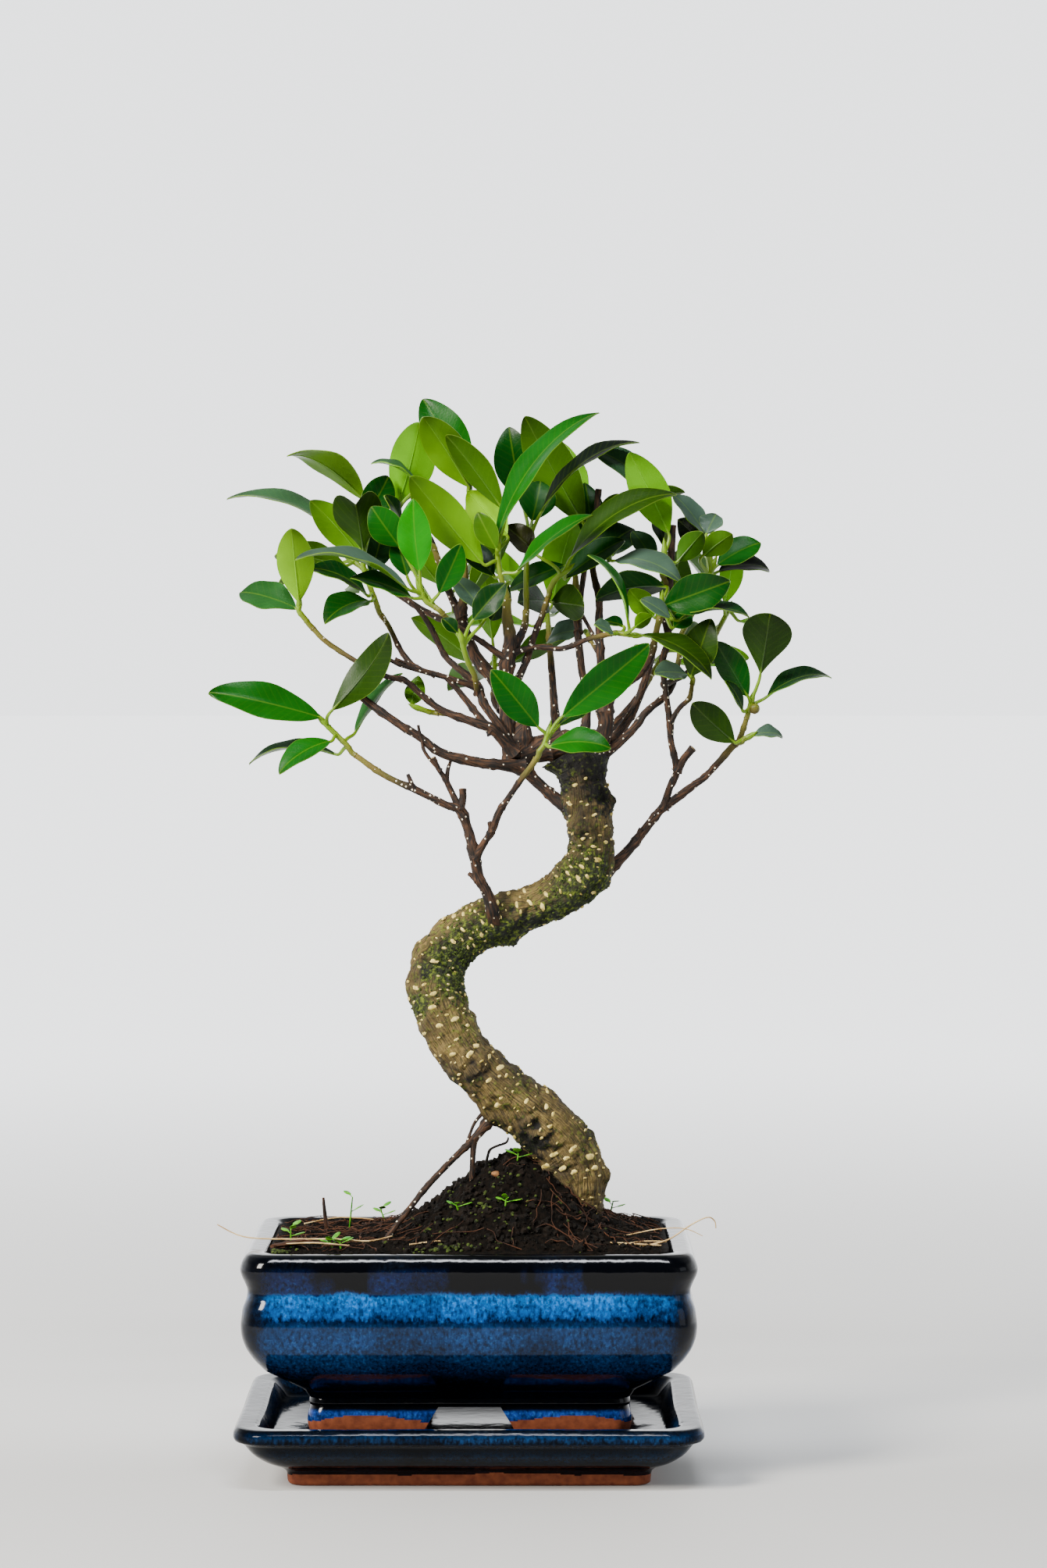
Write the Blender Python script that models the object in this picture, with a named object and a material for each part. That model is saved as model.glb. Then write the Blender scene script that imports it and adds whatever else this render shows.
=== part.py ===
"""A Chinese banyan bonsai: an S-shaped fig tree in a glazed pot that stands on a saucer.

Modelled in millimetres from the middle of the saucer's underside, +X to the right, +Y to the
back and +Z up, and turned to metres as each mesh is made.
"""

import math
import random

import bmesh
import bpy
from mathutils import Vector, noise

MM = 0.001
GAP = 0.3            # between pieces that rest on or stand in each other

# Saucer: half sizes of the rim's outer edge, and the levels of its parts
SAUCER_HALF = (78.0, 62.0)
SAUCER_HEIGHT = 21.0
SAUCER_FLOOR = 14.0
SAUCER_CORNER = 12.0
# How far in from the rim's outer edge, and how high, the turned section's points lie
SAUCER_SECTION = [
    (27.0, 8.8), (26.5, 0.0), (17.5, 0.0), (17.2, 4.4), (15.5, 6.0), (10.5, 8.0), (6.0, 11.4),
    (3.0, 16.0), (0.5, 16.6), (0.0, 18.0), (0.1, 20.2), (0.9, 21.0), (7.4, 21.0), (8.2, 20.4),
    (11.6, 14.8), (12.8, 14.0),
]

# Pot: the rim is as wide as the belly, and a neck lies between them
POT_HALF = (76.0, 55.0)
POT_TOP = 78.0
POT_CORNER = 10.0
POT_OUTSIDE = [
    (23.5, 26.0), (22.0, 27.4), (20.5, 30.0), (14.3, 34.0), (8.4, 37.8), (7.5, 38.6), (4.4, 42.0),
    (1.8, 46.0), (0.4, 50.0), (0.0, 54.0), (0.8, 60.0), (2.1, 63.0), (2.5, 65.0), (1.3, 68.0),
    (0.0, 72.0), (0.2, 76.0), (1.8, 78.0),
]
POT_INSIDE = [(8.7, 78.0), (8.7, 52.0), (14.0, 40.0), (24.0, 32.0)]
FOOT_HALF = (54.0, 33.0)
FOOT_WALL = 8.5
FRONT_GAP = (32.0, 21.0)      # between the feet in front and behind: at the floor, and on top
SIDE_GAP = (24.0, 15.0)
DRAIN_HOLES = (-28.0, 28.0)
DRAIN_RADIUS = 6.0

# Soil: a mound that leans against the trunk
SOIL_EDGE = 77.4
MOUND_PEAK = (18.0, 1.0)
MOUND_HEIGHT = 28.5
MOUND_SPREAD = (23.0, 17.6, 21.0)     # to the left, to the right, and front to back
SOIL_ROUGHNESS = 0.7
SOIL_GAP = 0.35

# Tree: centre lines as (x, y, z, radius)
TRUNK = [
    (35.5, 0, 62, 9.6), (35.5, 0, 74, 9.6), (35.5, 0, 86.5, 9.6), (36, 0, 99, 10.2),
    (32.5, 0, 107, 10.6), (26, -1, 114.5, 10.4), (16.5, -2, 123, 9.6), (6.5, -3, 131.5, 9.1),
    (-3, -3, 141.5, 8.9), (-9, -2, 152.5, 9.2), (-11.5, 0, 162.5, 9.6), (-10, 1, 171, 9),
    (-5, 2, 178.5, 8.6), (3, 3, 184, 8.2), (12.5, 3, 187.5, 7.7), (23.5, 2, 191, 7.3),
    (33.5, 1, 196.5, 7.8), (40, 0, 204, 8.1), (41.2, -1, 212, 7.8), (40.5, -1, 220, 8),
    (39, 0, 230.5, 7.6), (37, 0, 238, 8), (34, 0, 243.5, 7.5),
]
# Burls: place, reach and height
BURLS = [
    ((-21.5, 0, 163), 4.5, 1.2), ((-17.5, 0, 176), 4.0, 1.6), ((14, 1, 179), 4.0, 2.6),
    ((47, -2, 99), 2.5, 1.4), ((27, -2, 126), 4.0, 1.2), ((49, -3, 226), 5.0, 1.4),
    ((27, 0, 206), 4.5, 2.2), ((0, -2, 151), 3.0, 1.0), ((0, -12, 138), 4.5, 1.0),
    ((36, -9, 217), 4.0, 1.2), ((30, -9, 180), 5.0, 0.8), ((10, 9, 180), 6.0, 1.2),
]
BARK_RELIEF = 0.5
THIN_LIMB = 1.75       # a limb that starts thinner has fewer sides

LIMBS = {
    "head_left": [(32, 0, 225.5, 3), (26, 0, 230, 3.2), (19.5, -1, 236, 3.6), (17.5, -1, 242, 4.6),
                  (17.5, -1, 248, 4.4), (17.5, 0, 253, 3.2)],
    "head_bar": [(16, -1, 243.5, 3.8), (26, 1, 244.5, 4.8), (36, 1, 246, 5.8), (45.5, 1, 246, 4.8)],
    "lower_left": [(8.5, -2, 184, 2.4), (7.5, -7, 189.5, 2.4), (5.5, -9, 196, 2.2),
                   (3, -10, 200.5, 2),
                   (1.5, -11, 208.5, 2.3), (-1, -11, 218, 1.9), (-3.5, -12, 224, 2.1),
                   (-8, -13, 225.5, 1.5), (-19, -14, 231, 1.4), (-26, -14, 234, 1.2),
                   (-32, -13, 237.5, 1.2), (-39, -12, 242.5, 1.1)],
    "lower_left_cut": [(-3.5, -12, 224, 1.5), (-2.5, -12, 227.5, 1.4), (-2.5, -12, 231, 1.5)],
    "lower_left_twig": [(-3.5, -12, 224, 1.4), (-8, -12, 233.5, 1.1), (-10.5, -13, 237.5, 1),
                        (-12.5, -14, 241.5, 1.2)],
    "lower_left_fine": [(-10, -13, 237, 0.8), (-15, -14, 243, 0.7), (-16.5, -14, 248, 0.6),
                        (-17.5, -15, 252.5, 0.6)],
    "rising": [(1.5, -11, 207.5, 1.8), (5, -13, 213, 1.4), (7.5, -15, 217, 1.5),
               (10, -18, 223.5, 1.5), (13, -20, 228, 1.2), (17, -23, 234, 1.2),
               (20.5, -25, 238.5, 1.2), (22.5, -26, 241.5, 1.2)],
    "right_arm": [(44, 1, 200, 2.6), (51.5, 3, 207, 2.1), (56.5, 4, 212.5, 1.9), (64, 5, 222, 1.7),
                  (67.5, 5, 225, 1.7), (76, 4, 231.5, 1.5), (81, 3, 235.5, 1.3), (89, 1, 244.5, 1.4),
                  (91.5, 0, 247, 1.2), (93, -1, 251, 1.1), (94.2, -2, 255, 1.1)],
    "far_right_spur": [(90.5, 0.5, 246, 1), (91.5, -2, 246.4, 1), (92, -3.2, 246.6, 1)],
    "right_up": [(66, 5, 223.5, 1.6), (68, 4, 230.5, 1.4), (70.5, 3, 237, 1.5),
                 (68.5, 1, 246.5, 1.3), (68, 0, 253.5, 1.4), (66.5, -1, 264, 1.2),
                 (65.5, -3, 274.5, 1.4), (67.5, -4, 281.5, 1.5), (66.5, -3, 289.5, 1.5),
                 (68, -1, 302.5, 1.4), (69, 1, 320.5, 1.4)],
    "right_up_spur": [(67.6, -1.5, 299, 1), (66.6, -2.4, 301, 1), (65.8, -3, 302.6, 1)],
    "right_cut": [(70.5, 3, 236.5, 1.5), (73, 2, 241, 1.5), (76, 1, 244.5, 1.5)],
    "right_twig": [(68.2, 0, 253.5, 1.1), (71.5, -2, 258.5, 1), (74.5, -4, 261.5, 1),
                   (75.5, -4, 266.5, 0.9)],
    "left_up": [(14, -2, 240, 2.8), (12.5, -2, 252, 2.6), (12, -2, 261.5, 2.6), (12.5, -2, 273, 3),
                (13.5, -3, 281.5, 2.4), (12.5, -4, 289.5, 2), (12.5, -5, 295.5, 1.5)],
    "left_up_fork": [(13, -2, 274, 1.8), (16.5, 1, 281.5, 1.6), (18.5, 4, 286.5, 1.5),
                     (19, 7, 291.5, 1.2)],
    "brown_rise": [(14, -1, 264, 1.7), (18.5, 1, 273, 1.5), (22, 2, 283.5, 1.3), (24.5, 3, 290, 1.2),
                   (26.5, 4, 296, 1.1)],
    "brown_left": [(12.5, -3, 274.5, 1.4), (5, -5, 280, 1.2), (-0.5, -7, 283.5, 1.1), (-6, -9, 287, 1),
                   (-9.5, -11, 290.5, 1)],
    "dark_limb": [(12.5, 0, 254, 2.2), (11, 4, 262, 2.4), (7.5, 6, 268.5, 2.6), (2.5, 8, 274.5, 2.6),
                  (-1, 9, 281.5, 2.2), (-3, 9, 290, 2.2), (-2, 8, 299.5, 1.5), (-2, 6, 307, 1.2)],
    "dark_limb_left": [(-3, 9, 289, 1.8), (-7, 11, 297, 1.5), (-10, 12, 305.5, 1.2),
                       (-12.5, 12, 312.5, 1.1)],
    "cut_bud": [(-10, 12, 305, 1.1), (-12.5, 16, 313, 1.1), (-17, 16, 323, 1.2), (-20, 14, 332, 1.5)],
    "middle_left": [(16, -3, 242, 2), (10, -5, 252, 1.8), (4.5, -4, 260, 1.7), (2.5, -3, 266, 1.6),
                    (-4.5, -1, 272, 1.4), (-9, 1, 276.5, 1.2), (-13.5, 3, 285.5, 1.1), (-18, 5, 292, 1),
                    (-23.5, 7, 297, 0.9)],
    "crossing_left": [(3, -3.5, 265, 1.5), (-4.5, -5, 267.5, 1.2), (-11, -5, 269.5, 1.1),
                      (-18.5, -4, 272, 1.2), (-23.5, -2, 277.5, 1.1), (-27.5, 0, 285.5, 1),
                      (-30.5, 1, 290, 1)],
    "crossing_stub_low": [(-12, -5, 269.5, 0.9), (-24, -9, 273, 0.8), (-30, -11, 276.5, 0.8)],
    "green_stem_foot": [(2.5, -3.5, 263, 1.2), (2, -6, 266, 1), (1.6, -8, 268.5, 1)],
    "lower_mid": [(15, -4, 243, 2.2), (7.5, -8, 251, 2), (2.5, -9, 253, 1.8), (-8.5, -9, 257, 1.4),
                  (-15, -9, 261.5, 1.3), (-22, -9, 267.5, 1.2), (-28.5, -9, 269, 1.1),
                  (-37.5, -9, 273.5, 1), (-48.5, -8, 280.5, 1), (-53.5, -8, 285.5, 1)],
    "lower_mid_limb": [(7.5, -8, 250, 1.6), (2.5, -6, 256, 1.4), (-3.5, -5, 263.5, 1.2),
                       (-8, -6, 268.5, 1.1)],
    "bud_spur": [(-4, -9, 255.3, 0.8), (-8, -8, 256, 0.8), (-11, -7, 256.5, 0.8)],
    "lowest_left": [(17, -3, 238.5, 2.6), (10, -8, 239, 2.2), (2, -10, 240, 2.1),
                    (-9.5, -12, 243, 1.8), (-17, -13, 248.5, 1.7), (-25, -14, 253.5, 1.6),
                    (-36, -13, 261.5, 1.5), (-40.5, -12, 266, 1.5)],
    "light_limb": [(43, -2, 243, 3), (46, -5, 252, 3), (46, -5, 258.5, 3.2), (47.5, -5, 263, 2.8),
                   (52.5, -4, 266.5, 2), (58, -2, 270.5, 1.8), (61.5, -3, 276, 1.6), (63, -6, 283.5, 1.3),
                   (64.5, -8, 289.5, 1.2)],
    "light_cut": [(47, -5, 261, 2.2), (44.5, -8, 263, 2), (43, -10, 264.2, 2)],
    "black_limb_a": [(44, 2, 243, 2), (52.5, 4, 252, 1.8), (57, 6, 260, 1.6), (60.5, 8, 270, 1.5),
                     (62.5, 9, 278.5, 1.3)],
    "black_limb_b": [(44, -1, 241, 2), (54.5, -3, 250, 1.7), (60, -3, 257, 1.5), (68, 3, 264, 1.3),
                     (71, 7, 273, 1.1), (72, 8, 282, 1)],
    "upright_a": [(38, 4, 244, 2.2), (40, 9, 260, 1.6), (38, 11, 272, 1.5), (36.5, 13, 288, 1.4),
                  (36, 14, 303.5, 1.2)],
    "upright_b": [(45, -3, 257, 1.9), (44.5, 3, 274.5, 1.7), (44, 7, 286.5, 1.6), (44, 10, 296, 1.5),
                  (42, 12, 305.5, 1.3), (42.5, 14, 316.5, 1.2), (44, 15, 333.5, 1.3)],
    "upright_spur": [(42.2, 12.5, 308, 1), (44, 13.5, 309.3, 0.9), (46, 14, 310, 0.9)],
    "brown_bar": [(14.5, -2, 277, 1.3), (22.5, 0, 279, 1.1), (31.5, -3, 278.5, 1.1), (39.5, -6, 281.5, 1),
                  (48, -8, 283.5, 1)],
    "back_spur": [(44.4, 3.5, 276, 1), (42.5, 6, 279, 0.9), (41, 9, 281.5, 0.8)],
    "back_a": [(11.5, 2, 258, 1.8), (7, 14, 268, 1.5), (1, 26, 279, 1.3), (-3, 35, 288, 1.1)],
    "back_b": [(44, 4, 245, 2), (51, 15, 254, 1.6), (58, 25, 262, 1.3), (63, 32, 270, 1.1)],
    "back_c": [(30, 4, 245, 2), (29, 18, 256, 1.7), (28, 30, 270, 1.4), (27, 39, 284, 1.2)],
    "back_d": [(-3, 9, 286, 1.6), (-13, 16, 290, 1.3), (-25, 24, 297, 1.1), (-33, 28, 303, 1)],
    "back_e": [(66, -0.5, 266, 1.2), (74, 10, 270, 1.2), (80, 20, 275, 1.1), (84, 27, 282, 1)],
    "back_f": [(37, 12, 284, 1.3), (38, 22, 297, 1.2), (40, 31, 309, 1.1), (43, 38, 319, 1)],
    "back_g": [(20, 2, 246, 2.0), (13, 13, 254, 1.5), (8, 21.5, 260, 1.3), (8, 30, 266, 1.1)],
    "prop_root": [(9, -2, 121, 2.8), (3.5, -5, 114, 1.8), (-1, -7, 109.5, 1.4), (-7.5, -11, 103.5, 1.2),
                  (-14, -15, 97, 1.2), (-19.5, -19, 90.5, 1.1), (-26, -24, 82.5, 1.1), (-29.5, -27, 77, 1),
                  (-31, -28, 70, 1)],
    "prop_root_branch": [(1.2, -6.5, 111.5, 1.3), (0.8, -6.5, 105, 1.1), (0.6, -6, 98, 1.1),
                         (0.6, -6, 88, 1.1)],
    "prop_root_fine": [(6, -5, 122, 0.9), (1.5, -5.5, 117, 0.6), (-1.2, -7, 110, 0.7)],
}

# A leaf: foot and tip of its blade, its width, and the way its upper face looks, as degrees round
# to the right from the front and degrees up
PLAIN = {}
ARCHED = {"arch": 0.11, "hook": 0.05}
NOTCHED = {"arch": 0.16, "notch": 0.14, "widest": 0.66}
OBOVATE = {"widest": 0.64}

SHOOT_RADIUS = 1.0
STALK_WIDTH = 1.2
STALK_TAPER = 0.65     # of its width and thickness, where it is sunk in the shoot
NODE_SPACING = 1.1
FIRST_NODE = 0.6
BLADE_THICKNESS = 0.9
BLADE_SPANS = 5
WIDE_LEAF = 11.0      # narrower leaves have a span less
BLADE_FOLD = 20.0     # degrees that each half of the blade is raised
BLADE_ARCH = 0.05     # of the blade's length
BLADE_HOOK = 0.03
BUD_LENGTH = 2.5
FIG_SPRAY = "far_right"
FIG_PLACE = (96.6, -3, 258)
FIG_RADIUS = 1.9


class Leaf:
    """One leaf blade, by its foot, its tip, its width and the way it faces."""

    def __init__(self, foot, tip, width, azimuth, elevation, form=PLAIN):
        self.foot = Vector(foot)
        self.tip = Vector(tip)
        self.width = width
        turn, rise = math.radians(azimuth), math.radians(elevation)
        level = math.cos(rise)
        self.facing = Vector((math.sin(turn) * level, -math.cos(turn) * level, math.sin(rise)))
        self.form = form


class Spray:
    """A green shoot on a brown limb, and the leaves that it carries."""

    def __init__(self, name, limb, shoot, leaves):
        self.name = name
        self.limb = limb
        self.shoot = shoot
        self.leaves = leaves


SPRAYS = [
    Spray("left_a", "lower_mid", [(-56, -8, 288.5), (-58, -8, 291), (-58, -8, 292.5)], [
        Leaf((-58, -9, 294), (-60, -18, 319), 13.5, 178, 5),
        Leaf((-59, -6, 292), (-79, 4, 298), 14, -20, 48),
    ]),
    Spray("left_b", "crossing_left", [(-32.5, 1, 295), (-35, 1, 301.5), (-36.5, 1, 306.5),
                                      (-36.5, 1, 310)], [
        Leaf((-36.5, -3, 311), (-38.5, -8, 328.5), 17, 178, 5, NOTCHED),
        Leaf((-37.5, 1, 310.5), (-54.5, 1, 329), 12, 176, 5),
        Leaf((-42, 10, 315), (-83.5, 16, 332), 16, -5, 76, ARCHED),
        Leaf((-37, 22, 330), (-62, -2, 345.5), 15, 178, 66, ARCHED),
        Leaf((-36.5, 1, 322.5), (-28, 5, 337.5), 12, 30, 25),
        Leaf((-35, -3, 296.5), (-56, -6, 306), 12, 0, 78, ARCHED),
        Leaf((-34, -4, 294.5), (-49, -15, 287.5), 15, -25, 40, ARCHED),
        Leaf((-34.5, 10, 304), (-30.5, 24, 321.5), 11, 12, 5),
    ]),
    Spray("left_c", "brown_left", [(-12, -11, 292.5), (-15, -11, 294.5), (-16.5, -11, 297.5)], [
        Leaf((-17, -13, 304.5), (-19, -20, 328.5), 12.5, -8, 8),
        Leaf((-21, -15, 298.5), (-57.5, -26, 310), 15, 0, 72, ARCHED),
        Leaf((-19.5, -13, 295.5), (-40, -18, 302.5), 12, 0, 55),
        Leaf((-10.5, -13, 297), (-3, -16, 313.5), 10, 20, 8),
        Leaf((-21.5, -5, 303), (-25, -2, 316), 9, 5, 8),
        Leaf((-24, -6, 313), (-33.5, -8, 326.5), 12, -15, 25),
    ]),
    Spray("top_left", "dark_limb_left", [(-18.5, 11, 316.5), (-23.5, 10, 321), (-25.5, 10, 325.5)], [
        Leaf((-25, 9, 327.5), (-17, -4, 355.5), 17, 172, 0),
        Leaf((-19, -4, 336), (-33.5, -3, 342), 9, 0, 80, ARCHED),
        Leaf((-24, 2, 322), (-29, -4, 330.5), 7, 20, 40),
    ]),
    Spray("top", "dark_limb", [(-1.5, 6, 316), (-1, 5, 325.5), (-0.5, 4, 331.5)], [
        Leaf((-0.5, 2, 333.5), (-16, -10, 357), 14, 178, 8),
        Leaf((-0.5, 8, 336.5), (-16.5, 13, 364.5), 16, -10, 5),
    ]),
    Spray("crown_a", "left_up", [(11, -6, 300.5), (9.5, -6, 308), (9.5, -6, 313.5)], [
        Leaf((4.5, -9, 307), (-20, -18, 336.5), 15, 177, 8),
        Leaf((9, -8, 315.5), (42, -10, 359.5), 15, -50, 28, ARCHED),
        Leaf((16, -8, 304.5), (41, -14, 324), 12, -35, 55),
        Leaf((8, -3, 303), (-4, 1, 314.5), 11, 20, 30),
        Leaf((11, -4, 326), (-8, -8, 351), 11, 178, 35),
        Leaf((12.5, 0, 317), (-1, 0, 332), 13, 178, 0),
        Leaf((9, -11, 315.5), (1.5, -11, 325.5), 9, -15, 10),
        Leaf((13, 2, 300.5), (7, 8, 288), 8, 20, 30),
    ]),
    Spray("crown_b", "left_up_fork", [(19, 9, 303), (19.5, 11, 312.5), (20.5, 12, 317)], [
        Leaf((24, 11, 325), (56.5, 6, 350.5), 13, -10, 68, ARCHED),
        Leaf((21, 15, 322.5), (24, 19, 336.5), 14, 0, -5),
        Leaf((17.5, 28, 330.5), (13, 26, 355.5), 15, -5, 5),
        Leaf((19.5, 42, 331), (24.5, 30, 356), 12, 10, 5),
    ]),
    Spray("crown_c", "brown_rise", [(27, 4, 298.5), (29, 3, 302), (32, 2, 304.5)], [
        Leaf((34, 0, 309), (69, -8, 332), 15, -25, 48, ARCHED),
        Leaf((22, 1, 311), (12, 5, 320.5), 10, 178, 30),
        Leaf((32.5, 6, 302.5), (52.5, 8, 316), 12, 0, 50),
        Leaf((26, 10, 295), (16.5, 24, 295), 14, 180, 20),
        Leaf((27.5, 8, 294.5), (39, 0, 293), 14, 178, 20),
        Leaf((32.5, 12, 307), (13, 18, 299), 11, 0, 42),
    ]),
    Spray("crown_d", "upright_a", [(37.5, 15, 309.5), (38.5, 16, 316)], [
        Leaf((39, 20, 321.5), (18.5, 12, 358.5), 17, 176, 8),
        Leaf((41.5, 24, 314), (39.5, 29, 336.5), 11, 12, 0),
        Leaf((45.5, 20, 321.5), (51, 18, 332), 8, 178, 0),
        Leaf((43.5, 18, 310.5), (56.5, 28, 320.5), 13, 0, 30),
    ]),
    Spray("green_stem", "green_stem_foot", [(-0.5, -11, 273.5), (-2, -13, 278), (-2.5, -14, 280.5)], [
        Leaf((-4.5, -14, 283.5), (-9.5, -14, 288.5), 6, 20, 30),
        Leaf((1, -10, 288), (12, -12, 300.5), 10, -5, 40),
        Leaf((4.5, -4, 290.5), (-6, 6, 303), 9, -10, 55),
    ]),
    Spray("stub_top", "right_up_spur", [(66, -4, 305.5), (66, -4, 310)], [
        Leaf((67.5, -3, 317.5), (54, -6, 345), 14, 178, 6),
        Leaf((65.5, 12, 328), (41.5, 12, 347.5), 13, 0, 48, ARCHED),
        Leaf((70.5, -3, 308), (79, -7, 318), 9, 178, 8),
        Leaf((66, 2, 313.5), (63.5, 14, 323.5), 7, 20, 40),
        Leaf((63, 8, 307.5), (55.5, 12, 319), 9, -10, 60),
    ]),
    Spray("right_back", "black_limb_b", [(75.5, 9, 289.5), (80.5, 8, 300), (82.5, 8, 305.5)], [
        Leaf((80.5, 8, 317), (69.5, 10, 331.5), 10, 0, 62),
        Leaf((80.5, 0, 317.5), (84, 4, 324.5), 9, 0, 55),
        Leaf((79, 12, 315.5), (71.5, 18, 323), 10, 178, 10),
        Leaf((79, -1, 310), (89, -6, 317.5), 9, 178, 10),
        Leaf((84.5, 8, 307), (99.5, 10, 315), 12, 10, 45),
        Leaf((85, 12, 305), (103, 16, 306), 13, 0, 60, ARCHED),
    ]),
    Spray("right_front", "light_limb", [(65, -8, 292), (65, -9, 293.5)], [
        Leaf((65.5, -12, 293), (87.5, -20, 301), 14.5, 8, 22),
        Leaf((70.5, -11, 288), (94, -18, 290), 12, 0, 74, ARCHED),
        Leaf((66.5, -4, 299.5), (43, 4, 296), 14, 178, 42, ARCHED),
        Leaf((62.5, -6, 289), (54, -6, 298.5), 9, 178, 12),
        Leaf((67.5, -17, 288.5), (57.5, -18, 295), 8, 0, 50),
        Leaf((69, -9, 285.5), (75, -6, 290), 7, 20, 30),
    ]),
    Spray("bar_end", "brown_bar", [(51.5, -9, 283.5), (55, -10, 283)], [
        Leaf((58, -11, 283), (82, -17, 269), 13, 0, 66, ARCHED),
        Leaf((48.5, -12, 283.5), (42, -16, 286.5), 8, 0, 50),
        Leaf((52, -6, 286), (44.5, -2, 287.5), 8, 10, 60),
        Leaf((53.5, -11, 287.5), (41, -15, 310.5), 11, 80, 5, ARCHED),
        Leaf((55.5, -14, 285.5), (61.5, -12, 289.5), 6, 178, 30),
    ]),
    Spray("upright_tip", "upright_spur", [(47.5, 12, 310.5), (47.5, 11, 310)], [
        Leaf((49, 4, 308.5), (71, -14, 302), 13, 5, 50, ARCHED),
    ]),
    Spray("thin_back", "back_spur", [(40.5, 13, 283.5), (40, 15, 284)], [
        Leaf((39, 18, 284.5), (26, 24, 281), 12, 5, 45, ARCHED),
    ]),
    Spray("twig_right", "right_twig", [(75.5, -4, 268.5)], [
        Leaf((75, -5, 269), (81.5, -10, 288.5), 13, -12, 8),
        Leaf((77.5, 4, 273.5), (85.5, 8, 276), 9, 0, 50),
        Leaf((74, -4, 269.5), (62.5, -10, 270), 11, 0, 50),
    ]),
    Spray("far_right_low", "far_right_spur", [(93, -4, 247.5), (94, -4, 248)], [
        Leaf((90, -6, 246.5), (75, -12, 260), 12, 172, -8),
        Leaf((96.5, -4, 249), (106.5, -2, 248.5), 8, 0, 55, ARCHED),
    ]),
    Spray("far_right", "right_arm", [(94.5, -2, 257), (95, -3, 258), (95.5, -3, 260)], [
        Leaf((98.5, -5, 269), (101.5, -13, 290.5), 18, 178, 5, OBOVATE),
        Leaf((94.5, -5, 262), (83, -9, 281), 11, 165, 5),
        Leaf((101, -1, 262), (123.5, 6, 269.5), 12, 0, 68, ARCHED),
        Leaf((92.5, -6, 257.5), (86.5, -10, 267.5), 7, 60, 10),
    ]),
    Spray("low_left", "lower_left", [(-41.5, -12, 245.5), (-44, -12, 248), (-47, -12, 251),
                                     (-49, -12, 253)], [
        Leaf((-50.5, -13, 255), (-87.5, -22, 264), 14.5, -10, 26),
        Leaf((-46, -18, 257), (-24, -24, 284), 14, 150, 10, ARCHED),
        Leaf((-39, -8, 250), (-23.5, -4, 270.5), 10, -70, 15),
        Leaf((-47, -17, 247), (-64, -26, 237), 11, -10, 48, ARCHED),
        Leaf((-45.5, -8, 242.5), (-75.5, -4, 240.5), 11, 0, 74, ARCHED),
    ]),
    Spray("centre", "rising", [(23.5, -27, 244), (25, -27, 246), (26, -27, 249)], [
        Leaf((23, -29, 252), (7.5, -36, 271), 12.5, -12, 8),
        Leaf((31, -29, 255.5), (60, -36, 279.5), 14, -10, 18),
        Leaf((27, -30, 245.5), (47, -36, 245.5), 12, 0, 42, ARCHED),
        Leaf((30, -24, 252.5), (43, -22, 260.5), 8, 0, 50),
    ]),
    Spray("small_left", "bud_spur", [(-14, -7, 257), (-17, -8, 258)], [
        Leaf((-20, -8, 259.5), (-17.5, -2, 268.5), 9, 172, 10),
    ]),
]

# Sprays at the back, whose leaves stand round their shoot by rule: limb, shoot's length, the first
# leaf's turn in degrees and the least length of a blade
BACK_SPRAYS = [
    ("back_a", 15.0, 270.0, 26.0), ("back_b", 12.0, 290.0, 22.0), ("back_c", 9.0, 100.0, 26.0),
    ("back_d", 12.0, 250.0, 20.0), ("back_e", 15.0, 70.0, 20.0), ("back_f", 9.0, 30.0, 20.0),
    ("back_g", 15.0, 260.0, 20.0),
]
BACK_LEAVES = 4
BACK_STALK = 7.0
BACK_SPREAD = 10.0             # how much longer than the least a blade may be
BACK_WIDTH = 0.42              # of the blade's length
LEAF_TURN = 137.5


def new_material(name, colour, roughness, coat=0.0):
    """Return a Principled material."""
    material = bpy.data.materials.new(name)
    material.use_nodes = True
    shader = material.node_tree.nodes["Principled BSDF"]
    shader.inputs["Base Color"].default_value = (*colour, 1.0)
    shader.inputs["Roughness"].default_value = roughness
    shader.inputs["Metallic"].default_value = 0.0
    shader.inputs["Coat Weight"].default_value = coat
    return material


def new_object(name, mesh, collection):
    """Link an object with this mesh to the collection."""
    item = bpy.data.objects.new(name, mesh)
    collection.objects.link(item)
    return item


def object_from_bmesh(name, shape, collection):
    """Turn a bmesh in millimetres into an object in metres, with its faces pointing out."""
    bmesh.ops.recalc_face_normals(shape, faces=shape.faces)
    bmesh.ops.scale(shape, vec=(MM, MM, MM), verts=shape.verts)
    mesh = bpy.data.meshes.new(name)
    shape.to_mesh(mesh)
    shape.free()
    return new_object(name, mesh, collection)


def evaluated_mesh(item):
    """Return the object's mesh with its modifiers applied."""
    bpy.context.view_layer.update()
    graph = bpy.context.evaluated_depsgraph_get()
    return bpy.data.meshes.new_from_object(item.evaluated_get(graph), depsgraph=graph)


def rounded_rectangle(half_x, half_y, corner, steps=3):
    """Return the points of a rectangle with round corners, counterclockwise from above."""
    points = []
    for quarter, (side_x, side_y) in enumerate([(1, 1), (-1, 1), (-1, -1), (1, -1)]):
        for step in range(steps + 1):
            angle = math.radians(90.0 * (quarter + step / steps))
            points.append((side_x * (half_x - corner) + corner * math.cos(angle),
                           side_y * (half_y - corner) + corner * math.sin(angle)))
    return points


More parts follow.
